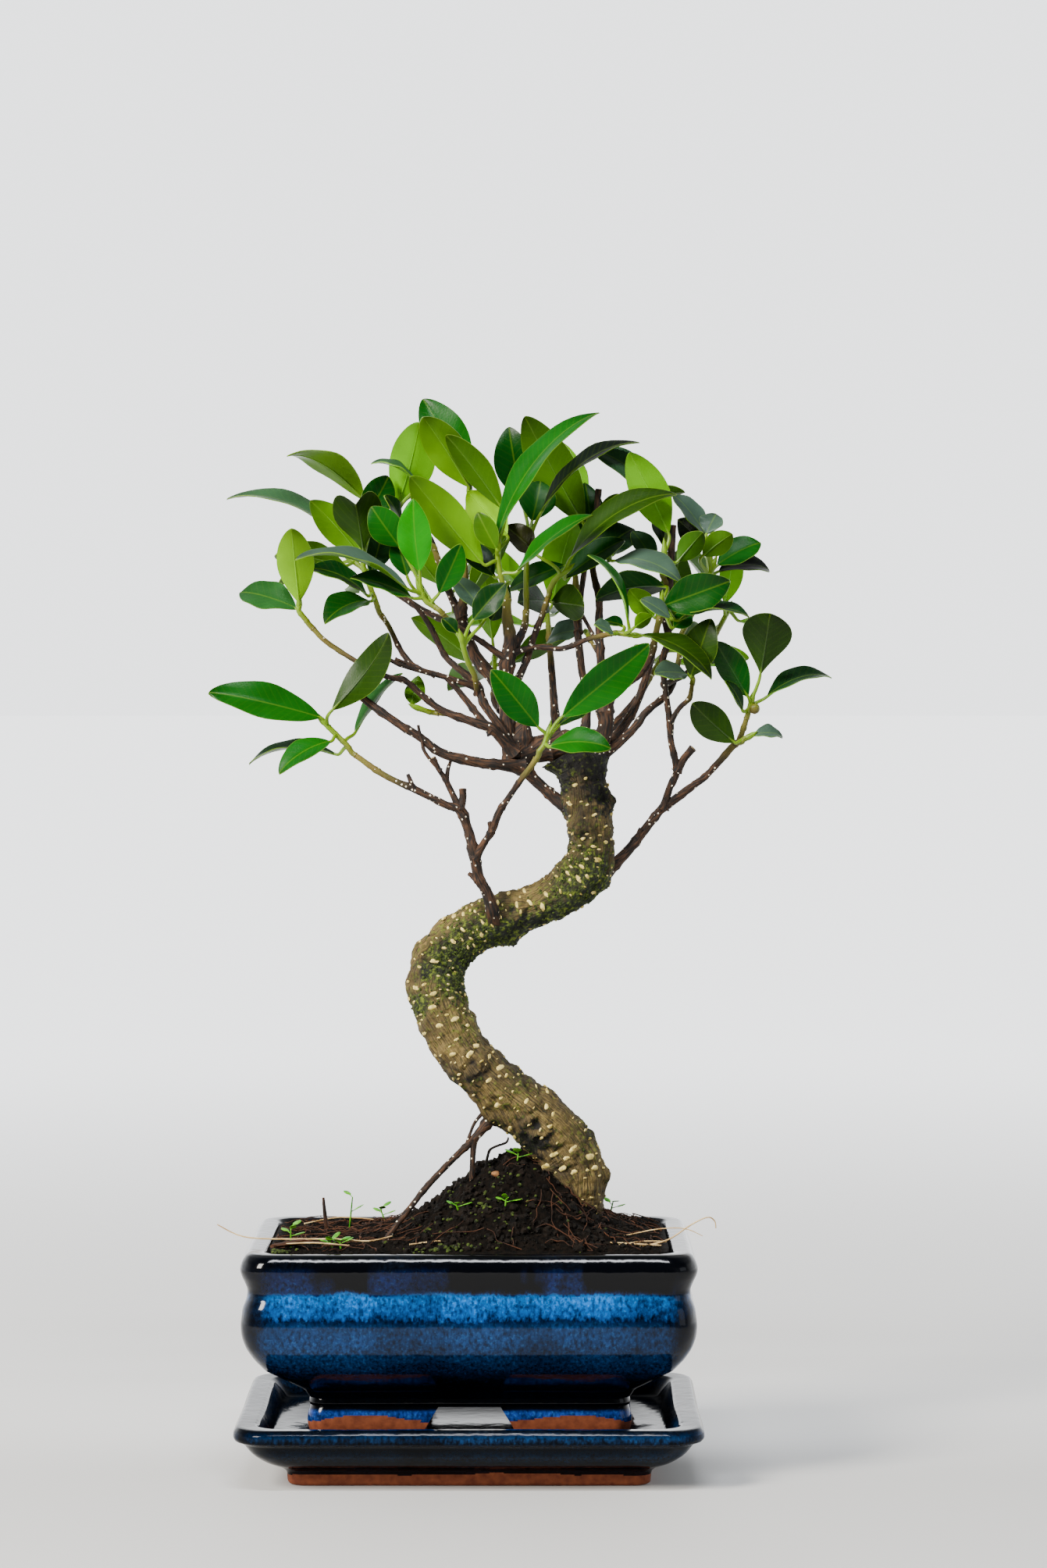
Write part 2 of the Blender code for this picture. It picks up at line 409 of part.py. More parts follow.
def loft(name, half, section, corner, least_corner, collection):
    """Build a closed solid whose outline steps in from a rounded rectangle, level by level."""
    shape = bmesh.new()
    rings = []
    for inset, height in section:
        radius = max(least_corner, corner - 0.4 * inset)
        outline = rounded_rectangle(half[0] - inset, half[1] - inset, radius)
        rings.append([shape.verts.new((x, y, height)) for x, y in outline])
    for lower, upper in zip(rings, rings[1:]):
        for index, corner_vert in enumerate(lower):
            following = (index + 1) % len(lower)
            shape.faces.new((corner_vert, lower[following], upper[following], upper[index]))
    shape.faces.new(reversed(rings[0]))
    shape.faces.new(rings[-1])
    return object_from_bmesh(name, shape, collection)


def wedge(name, levels, foot_size, top_size, collection):
    """Build a box between two levels, with one size at its foot and another at its top."""
    shape = bmesh.new()
    bmesh.ops.create_cube(shape, size=1.0)
    for vert in shape.verts:
        upper = vert.co.z > 0
        size = top_size if upper else foot_size
        vert.co = (vert.co.x * size[0], vert.co.y * size[1], levels[1] if upper else levels[0])
    return object_from_bmesh(name, shape, collection)


def rod(name, x, levels, radius, collection):
    """Build an upright cylinder between two levels."""
    shape = bmesh.new()
    bmesh.ops.create_cone(shape, cap_ends=True, segments=16, radius1=radius, radius2=radius,
                          depth=levels[1] - levels[0])
    bmesh.ops.translate(shape, vec=(x, 0, sum(levels) / 2), verts=shape.verts)
    return object_from_bmesh(name, shape, collection)


def tube(name, points, sides, collection):
    """Build a tube of changing radius along points of (x, y, z, radius), with 4 sides or more."""
    curve = bpy.data.curves.new(name, "CURVE")
    curve.dimensions = "3D"
    curve.bevel_depth = MM
    curve.bevel_resolution = (sides - 4) // 2
    curve.render_resolution_u = 0
    curve.use_fill_caps = True
    curve.twist_mode = "MINIMUM"
    spline = curve.splines.new("POLY")
    spline.points.add(len(points) - 1)
    for place, (x, y, z, radius) in zip(spline.points, points):
        place.co = (x * MM, y * MM, z * MM, 1.0)
        place.radius = radius
    item = new_object(name, curve, collection)
    mesh = evaluated_mesh(item)
    bpy.data.objects.remove(item)
    shape = bmesh.new()
    shape.from_mesh(mesh)
    bmesh.ops.remove_doubles(shape, verts=shape.verts, dist=0.00001)
    bmesh.ops.recalc_face_normals(shape, faces=shape.faces)
    shape.to_mesh(mesh)
    shape.free()
    return new_object(name, mesh, collection)


def smooth_line(points, steps):
    """Return points on a smooth curve through the given ones, with each value carried along."""
    line = []
    last = len(points) - 1
    for index in range(last):
        before, here = points[max(index - 1, 0)], points[index]
        after, beyond = points[index + 1], points[min(index + 2, last)]
        for step in range(steps):
            t = step / steps
            line.append(tuple(
                b + 0.5 * ((c - a) * t + (2 * a - 5 * b + 4 * c - d) * t ** 2
                           + (3 * b - a - 3 * c + d) * t ** 3)
                for a, b, c, d in zip(before, here, after, beyond)))
    line.append(tuple(points[last]))
    return line


def join(base, others, operation="UNION"):
    """Join the other shapes to the base, or cut them from it, and remove them."""
    group = bpy.data.collections.new("operands")
    bpy.context.scene.collection.children.link(group)
    for item in others:
        for holder in list(item.users_collection):
            holder.objects.unlink(item)
        group.objects.link(item)
    boolean = base.modifiers.new("join", "BOOLEAN")
    boolean.operation = operation
    boolean.operand_type = "COLLECTION"
    boolean.collection = group
    mesh = evaluated_mesh(base)
    base.modifiers.remove(boolean)
    base.data = mesh
    for item in others:
        bpy.data.objects.remove(item)
    bpy.data.collections.remove(group)
    return base


def build_saucer(parts):
    """A shallow tray with a flat rim, a hollowed side and a foot ring."""
    return loft("saucer", SAUCER_HALF, SAUCER_SECTION, SAUCER_CORNER, 5.0, parts)


def build_pot(parts, cutters):
    """A bellied pot with a rolled rim and four broad feet, open on top, with two drain holes."""
    pot = loft("pot", POT_HALF, POT_OUTSIDE, POT_CORNER, 6.0, parts)
    floor = SAUCER_FLOOR + GAP
    feet_top = POT_OUTSIDE[1][1]
    reach = POT_HALF[0] - FOOT_HALF[0]
    ring = loft("foot_ring", POT_HALF,
                [(reach, floor), (reach - 0.5, floor + 4.0), (reach, feet_top)],
                POT_CORNER, 4.0, parts)
    between_feet = (floor - 2.0, feet_top - 3.0)
    recess = (2 * (FOOT_HALF[0] - FOOT_WALL), 2 * (FOOT_HALF[1] - FOOT_WALL))
    gaps = [
        wedge("gap_front", between_feet, (FRONT_GAP[0], 2 * POT_HALF[1]),
              (FRONT_GAP[1], 2 * POT_HALF[1]), cutters),
        wedge("gap_side", between_feet, (2 * POT_HALF[0], SIDE_GAP[0]),
              (2 * POT_HALF[0], SIDE_GAP[1]), cutters),
        wedge("under_floor", (floor - 2.0, feet_top + 2.0), recess, recess, cutters),
    ]
    join(ring, gaps, "DIFFERENCE")
    join(pot, [ring])
    inside = [(POT_INSIDE[0][0], POT_TOP + 5.0), *POT_INSIDE]
    hollow = loft("hollow", POT_HALF, inside[::-1], POT_CORNER, 4.0, cutters)
    drains = [rod("drain", x, (floor, POT_INSIDE[-1][1] + 2.0), DRAIN_RADIUS, cutters)
              for x in DRAIN_HOLES]
    return join(pot, [hollow, *drains], "DIFFERENCE")


def soil_height(x, y, rim):
    """Return the height of the soil's surface, where rim runs from 0 in the middle to 1 at the pot."""
    spread = MOUND_SPREAD[0] if x < MOUND_PEAK[0] else MOUND_SPREAD[1]
    across = math.exp(-((x - MOUND_PEAK[0]) / spread) ** 2 / 2)
    along = math.exp(-((y - MOUND_PEAK[1]) / MOUND_SPREAD[2]) ** 2 / 2)
    settled = 1.0 - rim ** 8
    crumbs = SOIL_ROUGHNESS * noise.noise(Vector((x, y, 0.0)) * 0.21)
    end_rise = 2.0 * math.exp(-((x - 58.0) / 9.0) ** 2)
    return SOIL_EDGE + settled * (MOUND_HEIGHT * across * along + end_rise + crumbs)


def build_soil(parts, cutters):
    """The soil that fills the pot, with plain holes for the trunk and the prop roots."""
    shape = bmesh.new()
    bmesh.ops.create_grid(shape, x_segments=20, y_segments=14, size=1.0)
    half_x, half_y = (half - POT_INSIDE[0][0] - SOIL_GAP for half in POT_HALF)
    for vert in shape.verts:
        u, v = vert.co.x, vert.co.y
        x = half_x * u * (1.0 - 0.035 * v ** 8)
        y = half_y * v * (1.0 - 0.05 * u ** 8)
        vert.co = (x, y, soil_height(x, y, max(abs(u), abs(v))))
    rim = [edge for edge in shape.edges if edge.is_boundary]
    previous = 0.0
    for inset, height in POT_INSIDE[1:]:
        step = inset - POT_INSIDE[0][0]
        share_x = (half_x - step) / (half_x - previous)
        share_y = (half_y - step) / (half_y - previous)
        grown = bmesh.ops.extrude_edge_only(shape, edges=rim)["geom"]
        rim = [item for item in grown if isinstance(item, bmesh.types.BMEdge) and item.is_boundary]
        for vert in {vert for edge in rim for vert in edge.verts}:
            vert.co = (vert.co.x * share_x, vert.co.y * share_y, height + GAP)
        previous = step
    bmesh.ops.contextual_create(shape, geom=rim)
    soil = object_from_bmesh("soil", shape, parts)
    trunk_hole = [(x, y, z, radius + 1.6) for x, y, z, radius in TRUNK[:7]]
    holes = [tube("trunk_hole", trunk_hole, 16, cutters)]
    for name, first in (("prop_root", 4), ("prop_root_branch", 1)):
        line = [(x, y, z, radius + 0.6) for x, y, z, radius in LIMBS[name][first:]]
        end = Vector(line[-1][:3]) + (Vector(line[-1][:3]) - Vector(line[-2][:3])).normalized() * GAP
        line[-1] = (*end, line[-1][3])
        holes.append(tube(name + "_hole", line, 8, cutters))
    return join(soil, holes, "DIFFERENCE")


def build_trunk(parts):
    """The trunk, its limbs and twigs, and its prop roots, grown together as one piece of wood."""
    line = smooth_line(TRUNK, 2)
    trunk = tube("trunk", line, 12, parts)
    centres = [Vector(point[:3]) for point in line]
    for vert in trunk.data.vertices:
        place = vert.co / MM
        nearest = min(centres, key=lambda centre: (centre - place).length)
        outward = (place - nearest).normalized()
        push = BARK_RELIEF * noise.noise(place * 0.13)
        for burl, reach, height in BURLS:
            push += height * math.exp(-((place - Vector(burl)).length / reach) ** 2)
        if place.z > TRUNK[2][2]:
            vert.co += outward * push * MM
    limbs = [tube(name, points, 6 if points[0][3] > THIN_LIMB else 4, parts)
             for name, points in LIMBS.items()]
    return join(trunk, limbs)


def leaf_point(leaf, origin, along, across, lift):
    """Return a point of a leaf.

    Along runs from -1 where the stalk leaves the shoot, through 0 at the blade's foot, to 1 at its
    tip. Across runs from -1 to 1 over the leaf's width, and lift from -1 to 1 over its thickness.
    """
    axis = leaf.tip - leaf.foot
    length = axis.length
    axis.normalize()
    upper = (leaf.facing - axis * leaf.facing.dot(axis)).normalized()
    side = upper.cross(axis)
    stalk = (leaf.foot - origin).normalized()
    stalk_upper = (upper - stalk * upper.dot(stalk)).normalized()
    stalk_side = stalk_upper.cross(stalk)
    if along <= 0.0:
        centre = origin.lerp(leaf.foot, 1.0 + along)
        blend = 0.5 * (1.0 + along)
        size = STALK_TAPER + (1.0 - STALK_TAPER) * (1.0 + along)
        across_way = stalk_side.lerp(side, blend).normalized() * STALK_WIDTH / 2
        lift_way = stalk_upper.lerp(upper, blend).normalized() * BLADE_THICKNESS / 2
        return centre + (across_way * across + lift_way * lift) * size
    swell = along ** (math.log(0.5) / math.log(leaf.form.get("widest", 0.5)))
    half_width = leaf.width / 2 * math.sin(math.pi * swell) ** 0.8 if along < 1.0 else 0.0
    fold = math.radians(BLADE_FOLD)
    arch = leaf.form.get("arch", BLADE_ARCH) * 4.0 * along * (1.0 - along)
    hook = leaf.form.get("hook", BLADE_HOOK) * along ** 8
    notch = leaf.form.get("notch", 0.0) * abs(across) * along ** 4
    return (leaf.foot + axis * length * (along + notch) + side * across * half_width * math.cos(fold)
            + upper * (length * (arch - hook) + abs(across) * half_width * math.sin(fold))
            + upper * lift * BLADE_THICKNESS / 2)


def build_leaf(leaf, origin, parts):
    """A stalk and a thin blade, folded along its midrib, arched and hooked at its tip."""
    spans = BLADE_SPANS if leaf.width >= WIDE_LEAF else BLADE_SPANS - 1
    shape = bmesh.new()
    along = shape.verts.layers.float.new("along")
    across = shape.verts.layers.float.new("across")
    bmesh.ops.create_grid(shape, x_segments=2, y_segments=spans + 1, size=1.0)
    for vert in shape.verts:
        row = round((vert.co.y + 1.0) / 2.0 * (spans + 1))
        vert[along] = (row - 1) / spans if row else -1.0
        vert[across] = vert.co.x
        vert.co = leaf_point(leaf, origin, vert[along], vert[across], -1.0)
    bmesh.ops.remove_doubles(shape, verts=shape.verts, dist=0.01)
    start = [vert for vert in shape.verts if vert[along] < 0.0 and vert[across] == 0.0]
    bmesh.ops.dissolve_verts(shape, verts=start)
    bmesh.ops.triangulate(shape, faces=shape.faces)
    grown = bmesh.ops.extrude_face_region(shape, geom=shape.faces[:])["geom"]
    for vert in grown:
        if isinstance(vert, bmesh.types.BMVert):
            vert.co = leaf_point(leaf, origin, vert[along], vert[across], 1.0)
    return object_from_bmesh("leaf", shape, parts)


def point_on_line(line, distance):
    """Return the point at a distance along a run of straight pieces, or the run's end."""
    for start, end in zip(line, line[1:]):
        run = (end - start).length
        if distance <= run:
            return start.lerp(end, max(distance / run, 0.0))
        distance -= run
    return line[-1].copy()


def nearest_on_line(line, place):
    """Return the distance along a run of straight pieces at which it passes nearest to a place."""
    best, best_gap, passed = 0.0, (line[0] - place).length, 0.0
    for start, end in zip(line, line[1:]):
        run = end - start
        share = min(max((place - start).dot(run) / run.length_squared, 0.0), 1.0)
        gap = (start + run * share - place).length
        if gap < best_gap:
            best, best_gap = passed + share * run.length, gap
        passed += run.length
    return best


def stalk_starts(line, leaves):
    """Return where each leaf's stalk leaves the shoot, no two at one node."""
    taken = []
    for leaf in leaves:
        distance = nearest_on_line(line, leaf.foot)
        while any(abs(distance - other) < NODE_SPACING * 0.9 for other in taken):
            distance -= NODE_SPACING
        taken.append(distance)
    lift = max(0.0, FIRST_NODE - min(taken))
    return [point_on_line(line, distance + lift) for distance in taken]


def limb_end(name):
    """Return where a limb ends and which way it points there."""
    end = Vector(LIMBS[name][-1][:3])
    heading = (end - Vector(LIMBS[name][-2][:3])).normalized()
    return end, heading


def build_spray(spray, parts):
    """A shoot with a pointed bud, and a stalk and a blade for each leaf."""
    end, heading = limb_end(spray.limb)
    line = [end + heading * GAP, end + heading * (GAP + 1.0)] + [Vector(point) for point in spray.shoot]
    bud = line[-1] + (line[-1] - line[-2]).normalized() * BUD_LENGTH
    points = [(*point, SHOOT_RADIUS) for point in line] + [(*bud, 0.25)]
    shoot = tube("spray_" + spray.name, points, 4, parts)
    starts = stalk_starts(line[1:], spray.leaves)
    pieces = [build_leaf(leaf, start, parts) for leaf, start in zip(spray.leaves, starts)]
    if spray.name == FIG_SPRAY:
        shape = bmesh.new()
        bmesh.ops.create_uvsphere(shape, u_segments=8, v_segments=6, radius=FIG_RADIUS)
        bmesh.ops.translate(shape, vec=FIG_PLACE, verts=shape.verts)
        pieces.append(object_from_bmesh("fig", shape, parts))
    return join(shoot, pieces)


def back_spray(limb, length, first_turn, least_blade):
    """Return a spray whose leaves stand round the shoot, a fixed turn apart."""
    end, heading = limb_end(limb)
    line = [end + heading * (GAP + length / 2), end + heading * (GAP + length)]
    sideways = heading.orthogonal().normalized()
    draw = random.Random(limb)
    leaves = []
    for index in range(BACK_LEAVES):
        turn = math.radians(first_turn + LEAF_TURN * index)
        out = sideways * math.cos(turn) + heading.cross(sideways) * math.sin(turn)
        way = (out * 0.85 + heading * (0.35 + 0.12 * index)).normalized()
        share = 0.3 + 0.7 * index / (BACK_LEAVES - 1)
        foot = end + heading * (GAP + length * share) + way * BACK_STALK
        blade = least_blade + draw.uniform(0.0, BACK_SPREAD)
        leaves.append(Leaf(foot, foot + way * blade, blade * BACK_WIDTH, 0, 0))
        leaves[-1].facing = heading - out * 0.3
    return Spray(limb, limb, line, leaves)


def main():
    """Build every piece, and stand the whole on its origin."""
    for item in list(bpy.data.objects):
        bpy.data.objects.remove(item)
    parts = bpy.data.collections.new("chinese_banyan_bonsai")
    cutters = bpy.data.collections.new("cutters")
    bpy.context.scene.collection.children.link(parts)
    bpy.context.scene.collection.children.link(cutters)
    glaze = (0.01, 0.02, 0.07)
    pieces = [
        (build_saucer(parts), new_material("saucer_glaze", glaze, 0.2, 0.5)),
        (build_pot(parts, cutters), new_material("pot_glaze", glaze, 0.2, 0.5)),
        (build_soil(parts, cutters), new_material("soil", (0.03, 0.02, 0.012), 0.95)),
        (build_trunk(parts), new_material("bark", (0.13, 0.10, 0.05), 0.85)),
    ]
    for spray in SPRAYS + [back_spray(*settings) for settings in BACK_SPRAYS]:
        green = new_material("leaf_" + spray.name, (0.03, 0.14, 0.02), 0.35)
        pieces.append((build_spray(spray, parts), green))
    root = bpy.data.objects.new("bonsai", None)
    parts.objects.link(root)
    corners = []
    for item, material in pieces:
        item.data.materials.clear()
        item.data.materials.append(material)
        item.parent = root
        corners.extend(vert.co for vert in item.data.vertices)
    lowest = [min(corner[axis] for corner in corners) for axis in range(3)]
    highest = [max(corner[axis] for corner in corners) for axis in range(3)]
    root.location = (-(lowest[0] + highest[0]) / 2, -(lowest[1] + highest[1]) / 2, -lowest[2])


if __name__ == "__main__":
    main()
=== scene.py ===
"""Looks of a Chinese banyan bonsai: an S-shaped fig tree in a glazed pot that stands on a saucer.

Sizes are in millimetres from the middle of the saucer's underside, +X to the right, +Y to the
back and +Z up, and turn to metres as each mesh is finished.
"""

import logging
import random
from dataclasses import dataclass, field
from enum import Enum
from functools import partial
from math import atan2, cos, exp, log, pi, radians, sin, sqrt
from typing import Callable, Sequence

import bmesh
import bpy
from bpy.types import Material, Node, NodeSocket, NodeTree
from mathutils import Matrix, Quaternion, Vector, noise


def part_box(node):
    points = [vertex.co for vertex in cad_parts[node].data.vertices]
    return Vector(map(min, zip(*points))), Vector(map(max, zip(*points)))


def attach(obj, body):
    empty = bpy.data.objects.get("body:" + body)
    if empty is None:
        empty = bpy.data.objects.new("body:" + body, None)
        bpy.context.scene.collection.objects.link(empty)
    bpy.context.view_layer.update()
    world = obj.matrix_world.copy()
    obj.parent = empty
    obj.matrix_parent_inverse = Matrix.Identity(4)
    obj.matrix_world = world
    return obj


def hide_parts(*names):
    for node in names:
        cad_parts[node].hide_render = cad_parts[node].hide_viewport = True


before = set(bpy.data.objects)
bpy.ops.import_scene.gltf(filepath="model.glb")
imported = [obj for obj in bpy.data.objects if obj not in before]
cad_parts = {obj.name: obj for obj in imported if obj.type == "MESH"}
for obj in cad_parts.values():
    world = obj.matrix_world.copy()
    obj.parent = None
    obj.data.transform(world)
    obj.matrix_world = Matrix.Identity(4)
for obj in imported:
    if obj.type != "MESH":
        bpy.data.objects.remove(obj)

LOG = logging.getLogger("bonsai")
MM = 0.001
BODY = "root"
_LOW, _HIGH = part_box("saucer")
POT_MIDDLE = Vector(((_LOW.x + _HIGH.x) / 2, (_LOW.y + _HIGH.y) / 2, _LOW.z))

Point = tuple[float, ...]
Pair = tuple[float, float]
Inputs = dict | Sequence
Adder = Callable[..., Node]      # adds a node to one material


def linear(code: str) -> Point:
    """Turn an sRGB hex colour into linear values.

    Args:
        code: colour such as "#7FAE1E".

    Returns:
        Linear red, green, blue and alpha.
    """
    channels = [int(code[place:place + 2], 16) / 255 for place in (1, 3, 5)]
    return (*(c / 12.92 if c <= 0.04045 else ((c + 0.055) / 1.055) ** 2.4 for c in channels), 1)


def wire(node: Node, inputs: Inputs) -> None:
    """Set or link sockets of a node.

    Args:
        node: the node.
        inputs: for each socket in use in turn, or by socket name, a value, a hex colour, an output
            or a node that stands for its first output in use.
    """
    if not isinstance(inputs, dict):
        used = (number for number, socket in enumerate(node.inputs) if socket.enabled)
        inputs = dict(zip(used, inputs))
    for socket, given in inputs.items():
        if isinstance(given, Node):
            given = next(output for output in given.outputs if output.enabled)
        if isinstance(given, NodeSocket):
            node.id_data.links.new(given, node.inputs[socket])
        else:
            node.inputs[socket].default_value = linear(given) if isinstance(given, str) else given


def add_node(tree: NodeTree, kind: str, inputs: Inputs = (), mode: str = "",
             stops: Sequence[tuple[float, str]] = (), **settings) -> Node:
    """Add one node to a material.

    Args:
        tree: node tree of the material.
        kind: class name of the node, without its first part.
        inputs: what its sockets take, as in wire.
        mode: its operation, interpolation or blend.
        stops: places and colours of a colour ramp.
        settings: further properties of the node.

    Returns:
        The new node.
    """
    node = tree.nodes.new("ShaderNode" + kind)
    if kind == "Mix":
        settings["data_type"] = "RGBA"
    for key in ("operation", "interpolation_type", "blend_type"):
        if mode and hasattr(node, key):
            settings[key] = mode
    for key, value in settings.items():
        setattr(node, key, value)
    wire(node, inputs)
    for index, (place, colour) in enumerate(stops):
        ramp = node.color_ramp.elements
        stop = ramp[index] if index < len(ramp) else ramp.new(place)
        stop.position = place
        stop.color = linear(colour)
    return node


def smoothstep(low: float, high: float, value: float) -> float:
    """Return 0 below low, 1 above high and a smooth rise between them."""
    share = min(max((value - low) / (high - low), 0), 1)
    return share * share * (3 - 2 * share)


def smooth_line(points: Sequence[Point], steps: int) -> list[Point]:
    """Run a smooth curve through points.

    Args:
        points: places, with any further values that are carried along.
        steps: pieces between one point and the next.

    Returns:
        The points of the curve.
    """
    line = []
    last = len(points) - 1
    for index in range(last):
        before, here = points[max(index - 1, 0)], points[index]
        after, beyond = points[index + 1], points[min(index + 2, last)]
        for step in range(steps):
            t = step / steps
            line.append(tuple(
                b + 0.5 * ((c - a) * t + (2 * a - 5 * b + 4 * c - d) * t ** 2
                           + (3 * b - a - 3 * c + d) * t ** 3)
                for a, b, c, d in zip(before, here, after, beyond)))
    line.append(tuple(points[last]))
    return line


def round_corners(points: Sequence[Point], share: float = 0.38, steps: int = 4) -> list[Point]:
    """Round the corners of a run of straight lines, without leaving it.

    Args:
        points: the corners, whose first and last stay.
        share: part of the shorter neighbouring line that a corner takes.
        steps: pieces of each rounded corner.

    Returns:
        The points of the rounded run.
    """
    line = [tuple(points[0])]
    for before, here, after in zip(points, points[1:], points[2:]):
        back = Vector(before) - Vector(here)
        ahead = Vector(after) - Vector(here)
        reach = share * min(back.length, ahead.length)
        start = Vector(here) + back.normalized() * reach
        end = Vector(here) + ahead.normalized() * reach
        for step in range(steps + 1):
            t = step / steps
            line.append(tuple(start.lerp(Vector(here), t).lerp(Vector(here).lerp(end, t), t)))
    line.append(tuple(points[-1]))
    return line


@dataclass
class Ring:
    """A place on a stem: its centre, the way it runs, two sideways ways and the distance run."""

    centre: Vector
    ahead: Vector
    side: Vector
    up: Vector
    radius: float
    run: float

    def outward(self, angle: float) -> Vector:
        """Return the way out of the stem at an angle in radians."""
        return self.side * cos(angle) + self.up * sin(angle)


def rings_along(line: Sequence[Point]) -> list[Ring]:
    """Work out untwisted rings along a centre line.

    Args:
        line: points of (x, y, z, radius).

    Returns:
        One ring for each point.
    """
    centres = [Vector(point[:3]) for point in line]
    rings: list[Ring] = []
    run = 0
    for index, centre in enumerate(centres):
        ahead = (centres[min(index + 1, len(centres) - 1)] - centres[max(index - 1, 0)]).normalized()
        if rings:
            run += (centre - centres[index - 1]).length
            side = rings[-1].side - ahead * rings[-1].side.dot(ahead)
        else:
            side = Vector((0, -1, 0)) - ahead * ahead.dot(Vector((0, -1, 0)))
            if side.length < 0.1:
                side = ahead.orthogonal()
        side.normalize()
        rings.append(Ring(centre, ahead, side, ahead.cross(side), line[index][3], run))
    return rings


class Sheet:
    """A bmesh with the values that the materials read, which becomes one finished piece."""

    BATCH = 120                    # grains that are made together before they join the rest

    def __init__(self) -> None:
        """Start an empty mesh and the values of its places."""
        self.shape = bmesh.new()
        self.grains = bmesh.new()
        self.waiting = 0
        self.uv = self.shape.loops.layers.uv.new("surface")
        self.tone = self.shape.loops.layers.float_color.new("tone")
        self.edge = self.shape.verts.layers.float.new("edge")
        self.age = self.shape.verts.layers.float.new("age")
        self.moss = self.shape.verts.layers.float.new("moss")
        self.shade = self.shape.verts.layers.float.new("shade")

    def stem(self, line: Sequence[Point], sides: int, material: int = 0,
             ages: Pair = (0, 0),
             swell: Callable[[Vector, Vector, Ring], float] | None = None) -> list:
        """Lay a round stem along a centre line, closed at both ends.

        Args:
            line: points of (x, y, z, radius).
            sides: faces round the stem.
            material: number of its material.
            ages: the value called age at its start and its end.
            swell: gives how far the skin stands out, by place, way out and ring.

        Returns:
            The new vertices.
        """
        rings = rings_along(line)
        rows = len(rings) + 1
        grid = bmesh.ops.create_grid(self.shape, x_segments=sides, y_segments=rows, size=1)
        verts = grid["verts"]
        marks = {}
        for vert in verts:
            column = (vert.co.x + 1) / 2
            row = round((vert.co.y + 1) / 2 * rows)
            ring = rings[min(max(row - 1, 0), len(rings) - 1)]
            out = ring.outward(2 * pi * round(column * sides) / sides)
            radius = ring.radius if 0 < row < rows else 0
            place = ring.centre + out * radius
            if swell and radius:
                place += out * swell(place, out, ring)
            vert.co = place
            vert[self.age] = ages[0] + (ages[1] - ages[0]) * ring.run / max(rings[-1].run, 0.001)
            marks[vert] = (column * 2 * pi * ring.radius / 100, ring.run / 100)
        faces = {face for vert in verts for face in vert.link_faces}
        for face in faces:
            face.material_index = material
            for loop in face.loops:
                loop[self.uv].uv = marks[loop.vert]
                loop[self.tone] = (0, 0, 0, 0)
        bmesh.ops.remove_doubles(self.shape, verts=verts, dist=0.0002)
        return [vert for vert in verts if vert.is_valid]

    def blob(self, place: Vector, sizes: Point, turn: Quaternion, material: int = 0,
             detail: int = 1, lumps: float = 0.25) -> None:
        """Add a lumpy grain.

        Args:
            place: its middle.
            sizes: its half sizes along its own axes.
            turn: the way it is turned.
            material: number of its material.
            detail: 1 for twenty faces, 2 for eighty.
            lumps: share of its size that its skin is uneven by.
        """
        matrix = Matrix.LocRotScale(place, turn, Vector(sizes))
        verts = bmesh.ops.create_icosphere(self.grains, subdivisions=detail, radius=1)["verts"]
        for vert in verts:
            push = 1 + lumps * noise.noise(vert.co * 1.7 + place * 3.1)
            vert.co = matrix @ (vert.co * push)
        for face in {face for vert in verts for face in vert.link_faces}:
            face.material_index = material
        self.waiting += 1
        if self.waiting >= self.BATCH:
            self.gather()

    def gather(self) -> None:
        """Join the waiting grains to the rest, which is quicker than making each one there."""
        batch = bpy.data.meshes.new("grains")
        self.grains.to_mesh(batch)
        self.shape.from_mesh(batch)
        bpy.data.meshes.remove(batch)
        self.grains.clear()
        self.waiting = 0

    def finish(self, name: str, finishes: Sequence["Finish"], slot: str,
               replaces: Sequence[str] = (), sharp: float = 50,
               outwards: bool = True) -> None:
        """Turn the bmesh into a piece that rides on the plant.

        Args:
            name: the piece's name.
            finishes: its materials in order.
            slot: the record's material slot; not used.
            replaces: CAD nodes that the piece stands for.
            sharp: angle in degrees past which an edge stays sharp.
            outwards: whether its faces are turned outwards.
        """
        self.gather()
        self.grains.free()
        if outwards:
            bmesh.ops.recalc_face_normals(self.shape, faces=self.shape.faces)
        bmesh.ops.triangulate(self.shape, faces=self.shape.faces)
        bmesh.ops.scale(self.shape, vec=(MM, MM, MM), verts=self.shape.verts)
        bmesh.ops.translate(self.shape, vec=POT_MIDDLE, verts=self.shape.verts)
        mesh = bpy.data.meshes.new(name)
        self.shape.to_mesh(mesh)
        self.shape.free()
        mesh.shade_smooth()
        mesh.set_sharp_from_angle(angle=radians(sharp))
        for finish in finishes:
            mesh.materials.append(finish.material())
        piece = bpy.data.objects.new(name, mesh)
        bpy.context.scene.collection.objects.link(piece)
        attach(piece, BODY)
        if replaces:
            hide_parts(*replaces)
        LOG.info("%s: %d triangles", name, len(mesh.polygons))


